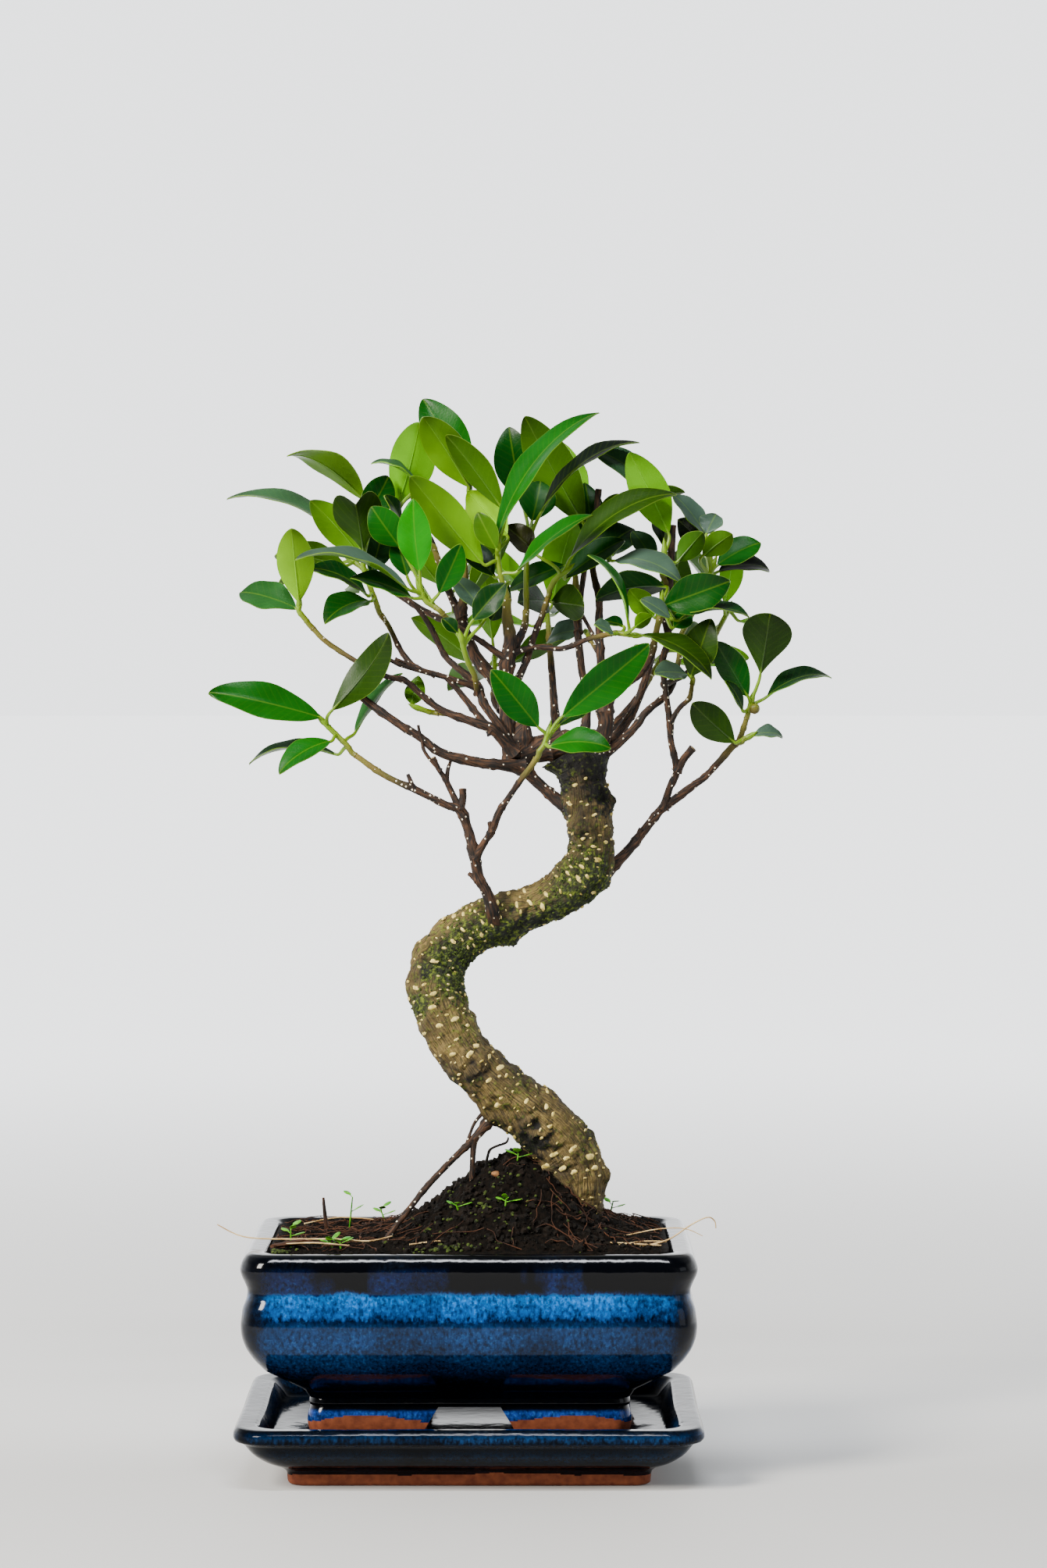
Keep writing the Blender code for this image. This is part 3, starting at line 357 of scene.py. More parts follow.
@dataclass(frozen=True)
class Finish:
    """A material: its name and the values that are the same all over it."""

    name: str = "finish"
    roughness: float = 0.5
    ior: float = 1.4

    def material(self) -> Material:
        """Find the material, or make it the first time.

        Returns:
            The material.
        """
        known = bpy.data.materials.get(self.name)
        if known:
            return known
        made = bpy.data.materials.new(self.name)
        made.use_nodes = True
        shader = made.node_tree.nodes["Principled BSDF"]
        wire(shader, {"Roughness": self.roughness, "IOR": self.ior})
        self.paint(partial(add_node, made.node_tree), shader)
        return made

    def paint(self, add: Adder, shader: Node) -> None:
        """Add the colour, roughness and relief that change over the surface.

        Args:
            add: adds a node to the material.
            shader: the material's main shader.
        """
        raise NotImplementedError

    @staticmethod
    def spot_noise(add: Adder, place: Node, size: float, detail: float = 3,
                   stretch: Point = (1, 1, 1)) -> Node:
        """Add noise whose spots have a real size.

        Args:
            add: adds a node to the material.
            place: coordinates in metres.
            size: size of a spot in millimetres.
            detail: octaves of finer noise.
            stretch: how much closer the spots lie along each axis.

        Returns:
            The noise, whose value is about 0.3 to 0.7.
        """
        scaled = add("VectorMath", (place, stretch), "MULTIPLY")
        return add("TexNoise", {"Scale": 1000 / size, "Detail": detail, "Vector": scaled})


@dataclass(frozen=True)
class LeafBlade(Finish):
    """Fig leaf: a waxy skin over green tissue, with a lighter midrib, faint veins and a pale edge."""

    name: str = "fig_leaf"
    roughness: float = 0.34
    ior: float = 1.2
    rib: str = "#7DA020"
    margin: str = "#7E9E30"
    vein_spacing: float = 2.6      # along the midrib, in millimetres
    vein_slant: float = 0.8        # how far a vein runs towards the tip for each millimetre outwards

    def paint(self, add: Adder, shader: Node) -> None:
        """Lay the veins, the rib and the edge over each leaf's own tone.

        Args:
            add: adds a node to the material.
            shader: the material's main shader.
        """
        tone = add("Attribute", attribute_name="tone")
        edge = add("Attribute", attribute_name="edge").outputs["Fac"]
        where = add("UVMap", uv_map="surface")
        place = add("TexCoord").outputs["Object"]
        split = add("SeparateXYZ", (where,))
        off = add("Math", (split.outputs["Y"],), "ABSOLUTE")
        mottle = self.spot_noise(add, place, 13, 3)
        lean = add("Math", (off, -self.vein_slant, split.outputs["X"]), "MULTIPLY_ADD")
        wander = add("Math", (mottle, 0.012, lean), "MULTIPLY_ADD")
        count = add("Math", (wander, 100 / self.vein_spacing), "MULTIPLY")
        away = add("Math", (count, 0.5), "PINGPONG")
        vein = add("MapRange", (away, 0.02, 0.16, 1, 0), "SMOOTHSTEP")
        rib = add("MapRange", (off, 0.001, 0.0042, 1, 0), "SMOOTHSTEP")
        rim = add("MapRange", (edge, 0.03, 0.18, 0.4, 0))
        light = add("MapRange", (mottle, 0.3, 0.7, 0.84, 1.16))
        varied = add("Mix", (1, tone, light), "MULTIPLY")
        weak = add("Math", (vein, 0.02), "MULTIPLY")
        veined = add("Mix", (weak, varied, self.rib))
        strong = add("Math", (rib, 0.15), "MULTIPLY")
        ribbed = add("Mix", (strong, veined, self.rib))
        edged = add("Mix", (rim, ribbed, self.margin))
        gloss = add("MapRange", (mottle, 0.3, 0.7, self.roughness - 0.07, self.roughness + 0.1))
        pores = self.spot_noise(add, place, 0.7, 2)
        height = add("Math", (vein, -0.1, pores), "MULTIPLY_ADD")
        bump = add("Bump", {"Strength": 0.25, "Distance": 0.0002, "Height": height})
        wire(shader, {"Base Color": edged, "Roughness": gloss, "Normal": bump})


@dataclass(frozen=True)
class YoungStem(Finish):
    """Green shoot and leaf stalk: soft waxy skin, browner where it is older."""

    name: str = "green_shoot"
    roughness: float = 0.42
    green: str = "#527600"
    fresh: str = "#789C00"
    old: str = "#5E4520"

    def paint(self, add: Adder, shader: Node) -> None:
        """Mix fresh and full green, and brown by the age value.

        Args:
            add: adds a node to the material.
            shader: the material's main shader.
        """
        age = add("Attribute", attribute_name="age").outputs["Fac"]
        place = add("TexCoord").outputs["Object"]
        patches = self.spot_noise(add, place, 3)
        greens = add("Mix", (patches, self.green, self.fresh))
        aged = add("Mix", (age, greens, self.old))
        tone = add("Attribute", attribute_name="tone")
        toned = add("Mix", (tone.outputs["Alpha"], aged, tone.outputs["Color"]))
        fine = self.spot_noise(add, place, 0.8)
        bump = add("Bump", {"Strength": 0.3, "Distance": 0.0002, "Height": fine})
        wire(shader, {"Base Color": toned, "Normal": bump})


@dataclass(frozen=True)
class LimbBark(Finish):
    """Bark of the limbs: dark brown and wrinkled, with white pores, and tan to olive on young ends."""

    name: str = "limb_bark"
    roughness: float = 0.78
    dark: str = "#0E0A07"
    brown: str = "#523620"
    tan: str = "#74582A"
    olive: str = "#5F6E1C"
    pore: str = "#E8DFC4"

    def paint(self, add: Adder, shader: Node) -> None:
        """Mix brown by lengthwise wrinkles, lighten it to the tips and add pores.

        Args:
            add: adds a node to the material.
            shader: the material's main shader.
        """
        age = add("Attribute", attribute_name="age").outputs["Fac"]
        where = add("UVMap", uv_map="surface")
        place = add("TexCoord").outputs["Object"]
        metres = add("VectorMath", (where, (0.1, 0.1, 0.1)), "MULTIPLY")
        fibre = self.spot_noise(add, metres, 2.6, 4, (3.6, 0.6, 1))
        blotch = self.spot_noise(add, place, 5)
        grain = add("MapRange", (fibre, 0.4, 0.66))
        clear = add("MapRange", (blotch, 0.38, 0.56, 0.25, 1))
        bare = add("Math", (grain, clear), "MULTIPLY")
        old = add("Mix", (bare, self.dark, self.brown))
        young = add("Mix", (blotch, self.tan, self.olive))
        fresh = add("MapRange", (age, 0.25, 0.02, 0, 1))
        bark = add("Mix", (fresh, old, young))
        cells = add("TexVoronoi", {"Scale": 640, "Randomness": 1, "Vector": place})
        pick = add("Math", (cells, 0.23), "LESS_THAN")
        rare = add("SeparateColor", (cells.outputs["Color"],))
        some = add("Math", (rare, 0.6), "GREATER_THAN")
        dots = add("Math", (pick, some), "MULTIPLY")
        dotted = add("Mix", (dots, bark, self.pore))
        height = add("Math", (fibre, dots), "ADD")
        bump = add("Bump", {"Strength": 0.8, "Distance": 0.0005, "Height": height})
        wire(shader, {"Base Color": dotted, "Normal": bump})


@dataclass(frozen=True)
class TrunkBark(Finish):
    """Bark of the trunk: tan-grey and olive, with fine lengthwise wrinkles, moss and painted black
    shade.
    """

    name: str = "trunk_bark"
    roughness: float = 0.8
    tan: str = "#7E6A38"
    grey: str = "#382D17"
    brown: str = "#171208"
    moss: str = "#222E08"
    fresh_moss: str = "#66741A"
    deep_moss: str = "#0A1005"
    painted_shade: str = "#070503"

    def paint(self, add: Adder, shader: Node) -> None:
        """Lay wrinkles, painted shade and moss over tan and grey.

        Args:
            add: adds a node to the material.
            shader: the material's main shader.
        """
        where = add("UVMap", uv_map="surface")
        place = add("TexCoord").outputs["Object"]
        moss = add("Attribute", attribute_name="moss").outputs["Fac"]
        shade = add("Attribute", attribute_name="shade").outputs["Fac"]
        metres = add("VectorMath", (where, (0.1, 0.1, 0.1)), "MULTIPLY")
        fibre = self.spot_noise(add, metres, 2, 5, (4.4, 0.4, 1))
        across = self.spot_noise(add, metres, 3, 3, (0.5, 2.4, 1))
        patch = self.spot_noise(add, place, 16, 3)
        spot = self.spot_noise(add, place, 1.5, 4)
        wide = add("MapRange", (patch, 0.38, 0.62))
        base = add("Mix", (wide, self.grey, self.tan))
        grain = add("MapRange", (fibre, 0.36, 0.6, 0.85, 0))
        lined = add("Mix", (grain, base, self.brown))
        # painted shade: the shade value darkens the bark to near black under the bends, in the crotches
        # and in the knots' hollows
        shade_depth = add("Math", (shade, spot), "ADD")
        dark = add("MapRange", (shade_depth, 0.75, 1.15))
        painted_shade = add("Mix", (dark, lined, self.painted_shade))
        greens = add("ValToRGB", (spot,),
                     stops=((0.38, self.deep_moss), (0.52, self.moss), (0.68, self.fresh_moss)))
        grown = add("Math", (moss, spot), "ADD")
        cover = add("MapRange", (grown, 0.62, 1.08, 0, 0.92))
        mossy = add("Mix", (cover, painted_shade, greens))
        rise = add("Math", (across, 0.6, fibre), "MULTIPLY_ADD")
        rough = add("Math", (spot, 0.8, rise), "MULTIPLY_ADD")
        bump = add("Bump", {"Strength": 0.9, "Distance": 0.0008, "Height": rough})
        wire(shader, {"Base Color": mossy, "Normal": bump})


@dataclass(frozen=True)
class Mottled(Finish):
    """A dull natural surface of two colours in spots, such as cork, moss, soil, straw or baked clay."""

    dark: str = "#000000"
    light: str = "#FFFFFF"
    spot: float = 1                # size of a spot in millimetres
    low: float = 0.35
    high: float = 0.65
    relief: float = 0.3            # in millimetres

    def paint(self, add: Adder, shader: Node) -> None:
        """Mix the two colours by noise and raise the light spots.

        Args:
            add: adds a node to the material.
            shader: the material's main shader.
        """
        place = add("TexCoord").outputs["Object"]
        spots = self.spot_noise(add, place, self.spot, 5)
        share = add("MapRange", (spots, self.low, self.high))
        mixed = add("Mix", (share, self.dark, self.light))
        bump = add("Bump", {"Strength": 0.8, "Distance": self.relief * MM, "Height": spots})
        wire(shader, {"Base Color": mixed, "Normal": bump})


@dataclass(frozen=True)
class Glaze(Finish):
    """Run glaze on stoneware, whose colour changes with height, in specks, black at the corners."""

    name: str = "pot_glaze"
    roughness: float = 0.1
    ior: float = 1.29
    span: Pair = (14, 80)          # heights that the ramp runs between
    # painted shade: the near-black from 23.6 to 34 mm darkens the tops of the feet, the ring and the
    # underside of the belly, where shade falls under the belly
    colours: Sequence[tuple[float, str]] = (
        (19, "#0A1E4C"), (22.4, "#1A3E90"), (23.6, "#020306"), (34, "#030812"), (38, "#05142E"),
        (42, "#071E3E"), (46, "#082244"), (50, "#08254A"), (54.5, "#061F3E"), (56.4, "#03102A"),
        (58.4, "#07366C"), (61.5, "#083C74"), (64.4, "#0C5090"),
        (65.4, "#08183A"), (68, "#0A1A44"), (72, "#081438"), (74, "#04070F"), (78, "#050810"))
    speck: str = "#3C8FD8"
    run: float = 5                 # how far the runs reach up and down
    calm: Pair = (23, 34)          # heights between which the runs set in
    neck: Pair = (64.6, 66.2)      # height above which black runs cut through the blue
    half: Pair = (76, 55)
    corner: float = 12
    black: str = "#020306"

    def paint(self, add: Adder, shader: Node) -> None:
        """Colour the glaze by height, with runs, specks, clouds and dark corners.

        Args:
            add: adds a node to the material.
            shader: the material's main shader.
        """
        place = add("TexCoord").outputs["Object"]
        local = add("VectorMath", (place, -POT_MIDDLE), "ADD")
        split = add("SeparateXYZ", (local,))
        height = add("Math", (split.outputs["Z"], 1000), "MULTIPLY")
        runs = self.spot_noise(add, local, 9, 4, (1, 1, 0.3))
        fine = self.spot_noise(add, local, 1.1, 3, (1, 1, 0.6))
        grain = self.spot_noise(add, local, 0.8, 1)
        cloud = self.spot_noise(add, local, 26, 3, (1, 1, 0.8))
        ragged = add("Math", (runs, self.run, -self.run / 2), "MULTIPLY_ADD")
        frayed = add("Math", (fine, 4, -2), "MULTIPLY_ADD")
        shift = add("Math", (ragged, frayed), "ADD")
        wild = add("MapRange", (height, *self.calm, 0.15, 1))
        level = add("Math", (shift, wild, height), "MULTIPLY_ADD")
        share = add("MapRange", (level, *self.span))
        reach = self.span[1] - self.span[0]
        stops = [((z - self.span[0]) / reach, colour) for z, colour in self.colours]
        base = add("ValToRGB", (share,), stops=stops)
        clouds = add("MapRange", (cloud, 0.34, 0.66, 0.4, 1.4))
        spots = add("MapRange", (fine, 0.34, 0.66, 0.4, 1.65))
        shading = add("Math", (clouds, spots), "MULTIPLY")
        varied = add("Mix", (1, base, shading), "MULTIPLY")
        bright = add("SeparateColor", (varied,)).outputs[2]
        dust = add("MapRange", (grain, 0.56, 0.68))
        dusted = add("Math", (dust, bright), "MULTIPLY")
        light = add("Math", (dusted, 0.85), "MULTIPLY")
        specked = add("Mix", (light, varied, self.speck))
        bands = self.spot_noise(add, local, 17, 2, (1, 1, 0.12))
        above = add("MapRange", (level, *self.neck))
        black = add("MapRange", (bands, 0.45, 0.52))
        cut = add("Math", (above, black), "MULTIPLY")
        necked = add("Mix", (cut, specked, self.black))
        nearness = []
        for axis, half in zip("XY", self.half):
            flat = add("Math", (split.outputs[axis],), "ABSOLUTE")
            nearness.append(add("Math", (flat, (half - self.corner) * MM), "SUBTRACT"))
        near = add("Math", nearness, "MINIMUM")
        frayed_corner = add("Math", (runs, 0.008, -0.004), "MULTIPLY_ADD")
        edge = add("Math", (near, frayed_corner), "ADD")
        dark = add("MapRange", (edge, 0, self.corner * MM * 0.6, 0, 0.92), "SMOOTHSTEP")
        cornered = add("Mix", (dark, necked, self.black))
        peel = self.spot_noise(add, local, 5, 2)
        bump = add("Bump", {"Strength": 0.2, "Distance": 0.0006, "Height": peel})
        wire(shader, {"Base Color": cornered, "Normal": bump})


BLADE = LeafBlade()
SHOOT = YoungStem()
LIMB = LimbBark()
TRUNK_BARK = TrunkBark()
# buff pores that stand out of the trunk, dry and crumbly
CORK = Mottled("cork_pores", 0.85, dark="#A08C3C", light="#ECD886", spot=1.6, relief=0.2)
# pale weathered wood where a limb was cut
CUT_WOOD = Mottled("dry_cut_wood", 0.85, dark="#5B4630", light="#A08A62", spot=0.8, relief=0.2)
# dull dark green cushions with yellow-green tips
MOSS = Mottled("moss", 0.95, dark="#0A1005", light="#425214", spot=1.3, relief=0.4)
# near-black wet soil, rough and hardly shining
SOIL_TOP = Mottled("damp_soil", 0.95, 1.2, dark="#020201", light="#110B06", spot=1.8, relief=1)
# separate dark lumps that catch a little light
CRUMB = Mottled("soil_crumb", 0.85, 1.25, dark="#020201", light="#171009", spot=2.2, relief=0.3)
# red-brown threads of root
FIBRE = Mottled("root_fibre", 0.85, dark="#1E0F06", light="#4E2C15", spot=6, relief=0.1)
# bleached stalks with a slight sheen
STRAW = Mottled("dry_straw", 0.7, dark="#A07B45", light="#D9BE88", spot=5, relief=0.1)
# soft bright green skin
SEEDLING = Mottled("seedling", 0.5, dark="#2E7A06", light="#64AE10", spot=3, relief=0.1)
# dull warm brown clay
PEBBLE = Mottled("clay_pebble", 0.85, dark="#5A3A20", light="#8E6238", spot=1, relief=0.2)
# matt red-brown baked clay where the glaze stops
BARE_CLAY = Mottled("bare_terracotta", 0.8, dark="#5A2614", light="#94502F", spot=2.6, low=0.2,
                    high=0.8, relief=0.25)
# deep blue above, black on the rim, in the waist and at the corners, and blue-black below, with shade
# under the belly painted near black
POT_GLAZE = Glaze()
# the same glaze, thinner: blue on the rim, near-black in the tray and brown at the foot
SAUCER_GLAZE = Glaze(
    name="saucer_glaze", ior=1.15, span=(0, 24), run=1.6, calm=(-2, 0), half=(78, 62),
    corner=7, speck="#2F7CC0", neck=(30, 32),
    colours=((3, "#1A0D10"), (6, "#020408"), (9, "#030810"), (12, "#041222"), (15, "#02050B"),
             (17, "#040E1C"), (19.2, "#07203E"), (20.6, "#050A14"), (22, "#070D14")))


# Tree: centre lines as (x, y, z, radius)
TRUNK = [
    (35.5, 0, 62, 9.6), (35.5, 0, 74, 9.6), (35.5, 0, 86.5, 9.6), (36, 0, 99, 10.2),
    (32.5, 0, 107, 10.6), (26, -1, 114.5, 10.4), (16.5, -2, 123, 9.6), (6.5, -3, 131.5, 9.1),
    (-3, -3, 141.5, 8.9), (-9, -2, 152.5, 9.2), (-11.5, 0, 162.5, 9.6), (-10, 1, 171, 9),
    (-5, 2, 178.5, 8.6), (3, 3, 184, 8.2), (12.5, 3, 187.5, 7.7), (23.5, 2, 191, 7.3),
    (33.5, 1, 196.5, 7.8), (40, 0, 204, 8.1), (41.2, -1, 212, 7.8), (40.5, -1, 220, 8),
    (39, 0, 230.5, 7.6), (37, 0, 238, 8), (34, 0, 243.5, 7.5),
]

BURLS = [
    ((-21.5, 0, 163), 4.5, 1.2), ((-17.5, 0, 176), 4, 1.6), ((14, 1, 179), 4, 2.6),
    ((47, -2, 99), 2.5, 1.4), ((27, -2, 126), 4, 1.2), ((49, -3, 226), 5, 1.4),
    ((27, 0, 206), 4.5, 2.2), ((0, -2, 151), 3, 1), ((0, -12, 138), 4.5, 1),
    ((36, -9, 217), 4, 1.2), ((30, -9, 180), 5, 0.8), ((10, 9, 180), 6, 1.2),
]

LIMBS = {
    "head_left": [
        (32, 0, 225.5, 2.4), (26, 0, 230, 2.2), (20, -1, 236, 2.6), (17.5, -1, 242, 4.6),
        (17.5, -1, 248, 4.4), (17.5, 0, 253, 3.2)],
    "head_bar": [(16, -1, 243.5, 3.8), (26, 1, 244.5, 4.8), (36, 1, 246, 5.8), (45.5, 1, 246, 4.8)],
    "lower_left": [
        (8.5, -2, 184, 2.4), (7.5, -7, 189.5, 2.4), (5.5, -9, 196, 2.2), (3, -10, 200.5, 2),
        (1.5, -11, 208.5, 2.3), (-1, -11, 218, 1.9), (-3.5, -12, 224, 2.1), (-8, -13, 225.5, 1.5),
        (-19, -14, 231, 1.4), (-26, -14, 234, 1.2), (-32, -13, 237.5, 1.2), (-39, -12, 242.5, 1.1)],
    "lower_left_cut": [(-3.5, -12, 224, 1.5), (-2.5, -12, 227.5, 1.4), (-2.5, -12, 231, 1.5)],
    "lower_left_twig": [
        (-3.5, -12, 224, 1.4), (-8, -12, 233.5, 1.1), (-10.5, -13, 237.5, 1), (-12.5, -14, 241.5, 1.2)],
    "lower_left_fine": [
        (-10, -13, 237, 0.8), (-15, -14, 243, 0.7), (-16.5, -14, 248, 0.6), (-17.5, -15, 252.5, 0.6)],
    "rising": [
        (1.5, -11, 207.5, 1.8), (5, -13, 213, 1.4), (7.5, -15, 217, 1.5), (10, -18, 223.5, 1.5),
        (13, -20, 228, 1.2), (17, -23, 234, 1.2), (20.5, -25, 238.5, 1.2), (22.5, -26, 241.5, 1.2)],
    "right_arm": [
        (44, 1, 200, 2.6), (51.5, 3, 207, 2.1), (56.5, 4, 212.5, 1.9), (64, 5, 222, 1.7),
        (67.5, 5, 225, 1.7), (76, 4, 231.5, 1.5), (81, 3, 235.5, 1.3), (89, 1, 244.5, 1.4),
        (91.5, 0, 247, 1.2), (93, -1, 251, 1.1), (94.2, -2, 255, 1.1)],
    "far_right_spur": [(90.5, 0.5, 246, 1), (91.5, -2, 246.4, 1), (92, -3.2, 246.6, 1)],
    "right_up": [
        (66, 5, 223.5, 1.6), (68, 4, 230.5, 1.4), (70.5, 3, 237, 1.5), (68.5, 1, 246.5, 1.3),
        (68, 0, 253.5, 1.4), (66.5, -1, 264, 1.2), (65.5, -3, 274.5, 1.4), (67.5, -4, 281.5, 1.5),
        (66.5, -3, 289.5, 1.5), (68, -1, 302.5, 1.4), (69, 1, 320.5, 1.4)],
    "right_up_spur": [(67.6, -1.5, 299, 1), (66.6, -2.4, 301, 1), (65.8, -3, 302.6, 1)],
    "right_cut": [(70.5, 3, 236.5, 1.5), (73, 2, 241, 1.5), (76, 1, 244.5, 1.5)],
    "right_twig": [
        (68.2, 0, 253.5, 1.1), (71.5, -2, 258.5, 1), (74.5, -4, 261.5, 1), (75.5, -4, 266.5, 0.9)],
    "left_up": [
        (14, -2, 240, 2.8), (12.5, -2, 252, 2.6), (12, -2, 261.5, 2.6), (12.5, -2, 273, 3),
        (13.5, -3, 281.5, 2.4), (12.5, -4, 289.5, 2), (12.5, -5, 295.5, 1.5)],
    "left_up_fork": [
        (13, -2, 274, 1.8), (16.5, 1, 281.5, 1.6), (18.5, 4, 286.5, 1.5), (19, 7, 291.5, 1.2)],
    "brown_rise": [
        (14, -1, 264, 1.7), (18.5, 1, 273, 1.5), (22, 2, 283.5, 1.3), (24.5, 3, 290, 1.2),
        (26.5, 4, 296, 1.1)],
    "brown_left": [
        (12.5, -3, 274.5, 1.4), (5, -5, 280, 1.2), (-0.5, -7, 283.5, 1.1), (-6, -9, 287, 1),
        (-9.5, -11, 290.5, 1)],
    "dark_limb": [
        (12.5, 0, 254, 2.2), (11, 4, 262, 2.4), (7.5, 6, 268.5, 2.6), (2.5, 8, 274.5, 2.6),
        (-1, 9, 281.5, 2.2), (-3, 9, 290, 2.2), (-2, 8, 299.5, 1.5), (-2, 6, 307, 1.2)],
    "dark_limb_left": [
        (-3, 9, 289, 1.8), (-7, 11, 297, 1.5), (-10, 12, 305.5, 1.2), (-12.5, 12, 312.5, 1.1)],
    "cut_bud": [(-10, 12, 305, 1.1), (-12.5, 16, 313, 1.1), (-17, 16, 323, 1.2), (-20, 14, 332, 1.5)],
    "middle_left": [
        (16, -3, 242, 2), (10, -5, 252, 1.8), (4.5, -4, 260, 1.7), (2.5, -3, 266, 1.6),
        (-4.5, -1, 272, 1.4), (-9, 1, 276.5, 1.2), (-13.5, 3, 285.5, 1.1), (-18, 5, 292, 1),
        (-23.5, 7, 297, 0.9)],
    "crossing_left": [
        (3, -3.5, 265, 1.5), (-4.5, -5, 267.5, 1.2), (-11, -5, 269.5, 1.1), (-18.5, -4, 272, 1.2),
        (-23.5, -2, 277.5, 1.1), (-27.5, 0, 285.5, 1), (-30.5, 1, 290, 1)],
    "crossing_stub_low": [(-12, -5, 269.5, 0.9), (-24, -9, 273, 0.8), (-30, -11, 276.5, 0.8)],
    "green_stem_foot": [(2.5, -3.5, 263, 1.2), (2, -6, 266, 1), (1.6, -8, 268.5, 1)],
    "lower_mid": [
        (15, -4, 243, 2.2), (7.5, -8, 251, 2), (2.5, -9, 253, 1.8), (-8.5, -9, 257, 1.4),
        (-15, -9, 261.5, 1.3), (-22, -9, 267.5, 1.2), (-28.5, -9, 269, 1.1), (-37.5, -9, 273.5, 1),
        (-48.5, -8, 280.5, 1), (-53.5, -8, 285.5, 1)],
    "lower_mid_limb": [
        (7.5, -8, 250, 1.6), (2.5, -6, 256, 1.4), (-3.5, -5, 263.5, 1.2), (-8, -6, 268.5, 1.1)],
    "bud_spur": [(-4, -9, 255.3, 0.8), (-8, -8, 256, 0.8), (-11, -7, 256.5, 0.8)],
    "lowest_left": [
        (17, -3, 238.5, 2.6), (10, -8, 239, 2.2), (2, -10, 240, 2.1), (-9.5, -12, 243, 1.8),
        (-17, -13, 248.5, 1.7), (-25, -14, 253.5, 1.6), (-36, -13, 261.5, 1.5), (-40.5, -12, 266, 1.5)],
    "light_limb": [
        (43, -2, 243, 3), (46, -5, 252, 3), (46, -5, 258.5, 3.2), (47.5, -5, 263, 2.8),
        (52.5, -4, 266.5, 2), (58, -2, 270.5, 1.8), (61.5, -3, 276, 1.6), (63, -6, 283.5, 1.3),
        (64.5, -8, 289.5, 1.2)],
    "light_cut": [(47, -5, 261, 2.2), (44.5, -8, 263, 2), (43, -10, 264.2, 2)],
    "black_limb_a": [
        (44, 2, 243, 2), (52.5, 4, 252, 1.8), (57, 6, 260, 1.6), (60.5, 8, 270, 1.5),
        (62.5, 9, 278.5, 1.3)],
    "black_limb_b": [
        (44, -1, 241, 2), (54.5, -3, 250, 1.7), (60, -3, 257, 1.5), (68, 3, 264, 1.3),
        (71, 7, 273, 1.1), (72, 8, 282, 1)],
    "upright_a": [
        (38, 4, 244, 2.2), (40, 9, 260, 1.6), (38, 11, 272, 1.5), (36.5, 13, 288, 1.4),
        (36, 14, 303.5, 1.2)],
    "upright_b": [
        (45, -3, 257, 1.9), (44.5, 3, 274.5, 1.7), (44, 7, 286.5, 1.6), (44, 10, 296, 1.5),
        (42, 12, 305.5, 1.3), (42.5, 14, 316.5, 1.2), (44, 15, 333.5, 1.3)],
    "upright_spur": [(42.2, 12.5, 308, 1), (44, 13.5, 309.3, 0.9), (46, 14, 310, 0.9)],
    "brown_bar": [
        (14.5, -2, 277, 1.3), (22.5, 0, 279, 1.1), (31.5, -3, 278.5, 1.1), (39.5, -6, 281.5, 1),
        (48, -8, 283.5, 1)],
    "back_spur": [(44.4, 3.5, 276, 1), (42.5, 6, 279, 0.9), (41, 9, 281.5, 0.8)],
    "back_a": [(11.5, 2, 258, 1.8), (7, 14, 268, 1.5), (1, 26, 279, 1.3), (-3, 35, 288, 1.1)],
    "back_b": [(44, 4, 245, 2), (51, 15, 254, 1.6), (58, 25, 262, 1.3), (63, 32, 270, 1.1)],
    "back_c": [(30, 4, 245, 2), (29, 18, 256, 1.7), (28, 30, 270, 1.4), (27, 39, 284, 1.2)],
    "back_d": [(-3, 9, 286, 1.6), (-13, 16, 290, 1.3), (-25, 24, 297, 1.1), (-33, 28, 303, 1)],
    "back_e": [(66, -0.5, 266, 1.2), (74, 10, 270, 1.2), (80, 20, 275, 1.1), (84, 27, 282, 1)],
    "back_f": [(37, 12, 284, 1.3), (38, 22, 297, 1.2), (40, 31, 309, 1.1), (43, 38, 319, 1)],
    "back_g": [(20, 2, 246, 2), (13, 13, 254, 1.5), (8, 21.5, 260, 1.3), (8, 30, 266, 1.1)],
    "prop_root": [
        (9, -2, 121, 2.8), (3.5, -5, 114, 1.8), (-1, -7, 109.5, 1.4), (-7.5, -11, 103.5, 1.2),
        (-14, -15, 97, 1.2), (-19.5, -19, 90.5, 1.1), (-26, -24, 82.5, 1.1), (-29.5, -27, 77, 1),
        (-31, -28, 70, 1)],
    "prop_root_branch": [
        (1.2, -6.5, 111.5, 1.3), (0.8, -6.5, 105, 1.1), (0.6, -6, 98, 1.1), (0.6, -6, 88, 1.1)],
    "prop_root_fine": [(6, -5, 122, 0.9), (1.5, -5.5, 117, 0.6), (-1.2, -7, 110, 0.7)],
}


class Tone(Enum):
    """Colours of the side of a leaf that is seen from the front, with light and shade painted in: the
    brightest tones stand for leaves lit from behind, the darkest for leaves in shade, and the grey and
    sheen tones for painted sheen.
    """

    # painted light: a leaf that glows as if lit from behind
    BACKLIT_GLOW = "#80B800"
    BRIGHT = "#608F00"
    LIME = "#507F00"
    LIGHT = "#559200"
    YELLOW = "#416C00"
    HERB = "#315600"
    VIVID = "#0B7C02"
    FRESH = "#0A6002"
    GREEN = "#084C05"
    DEEP = "#073A06"
    DARK = "#052A07"
    OLIVE = "#2A5002"
    DUSK = "#1B3404"
    BROWN = "#1E2006"
    # painted sheen: grey and pale greens for leaves that mirror the bright backdrop
    GREY_SHEEN = "#2A4C2C"
    SHEEN = "#1C4A1C"
    PALE_SHEEN = "#384E40"
    # painted shade: near black for a leaf deep in the crown's shade
    SHADED_BLACK = "#050F06"


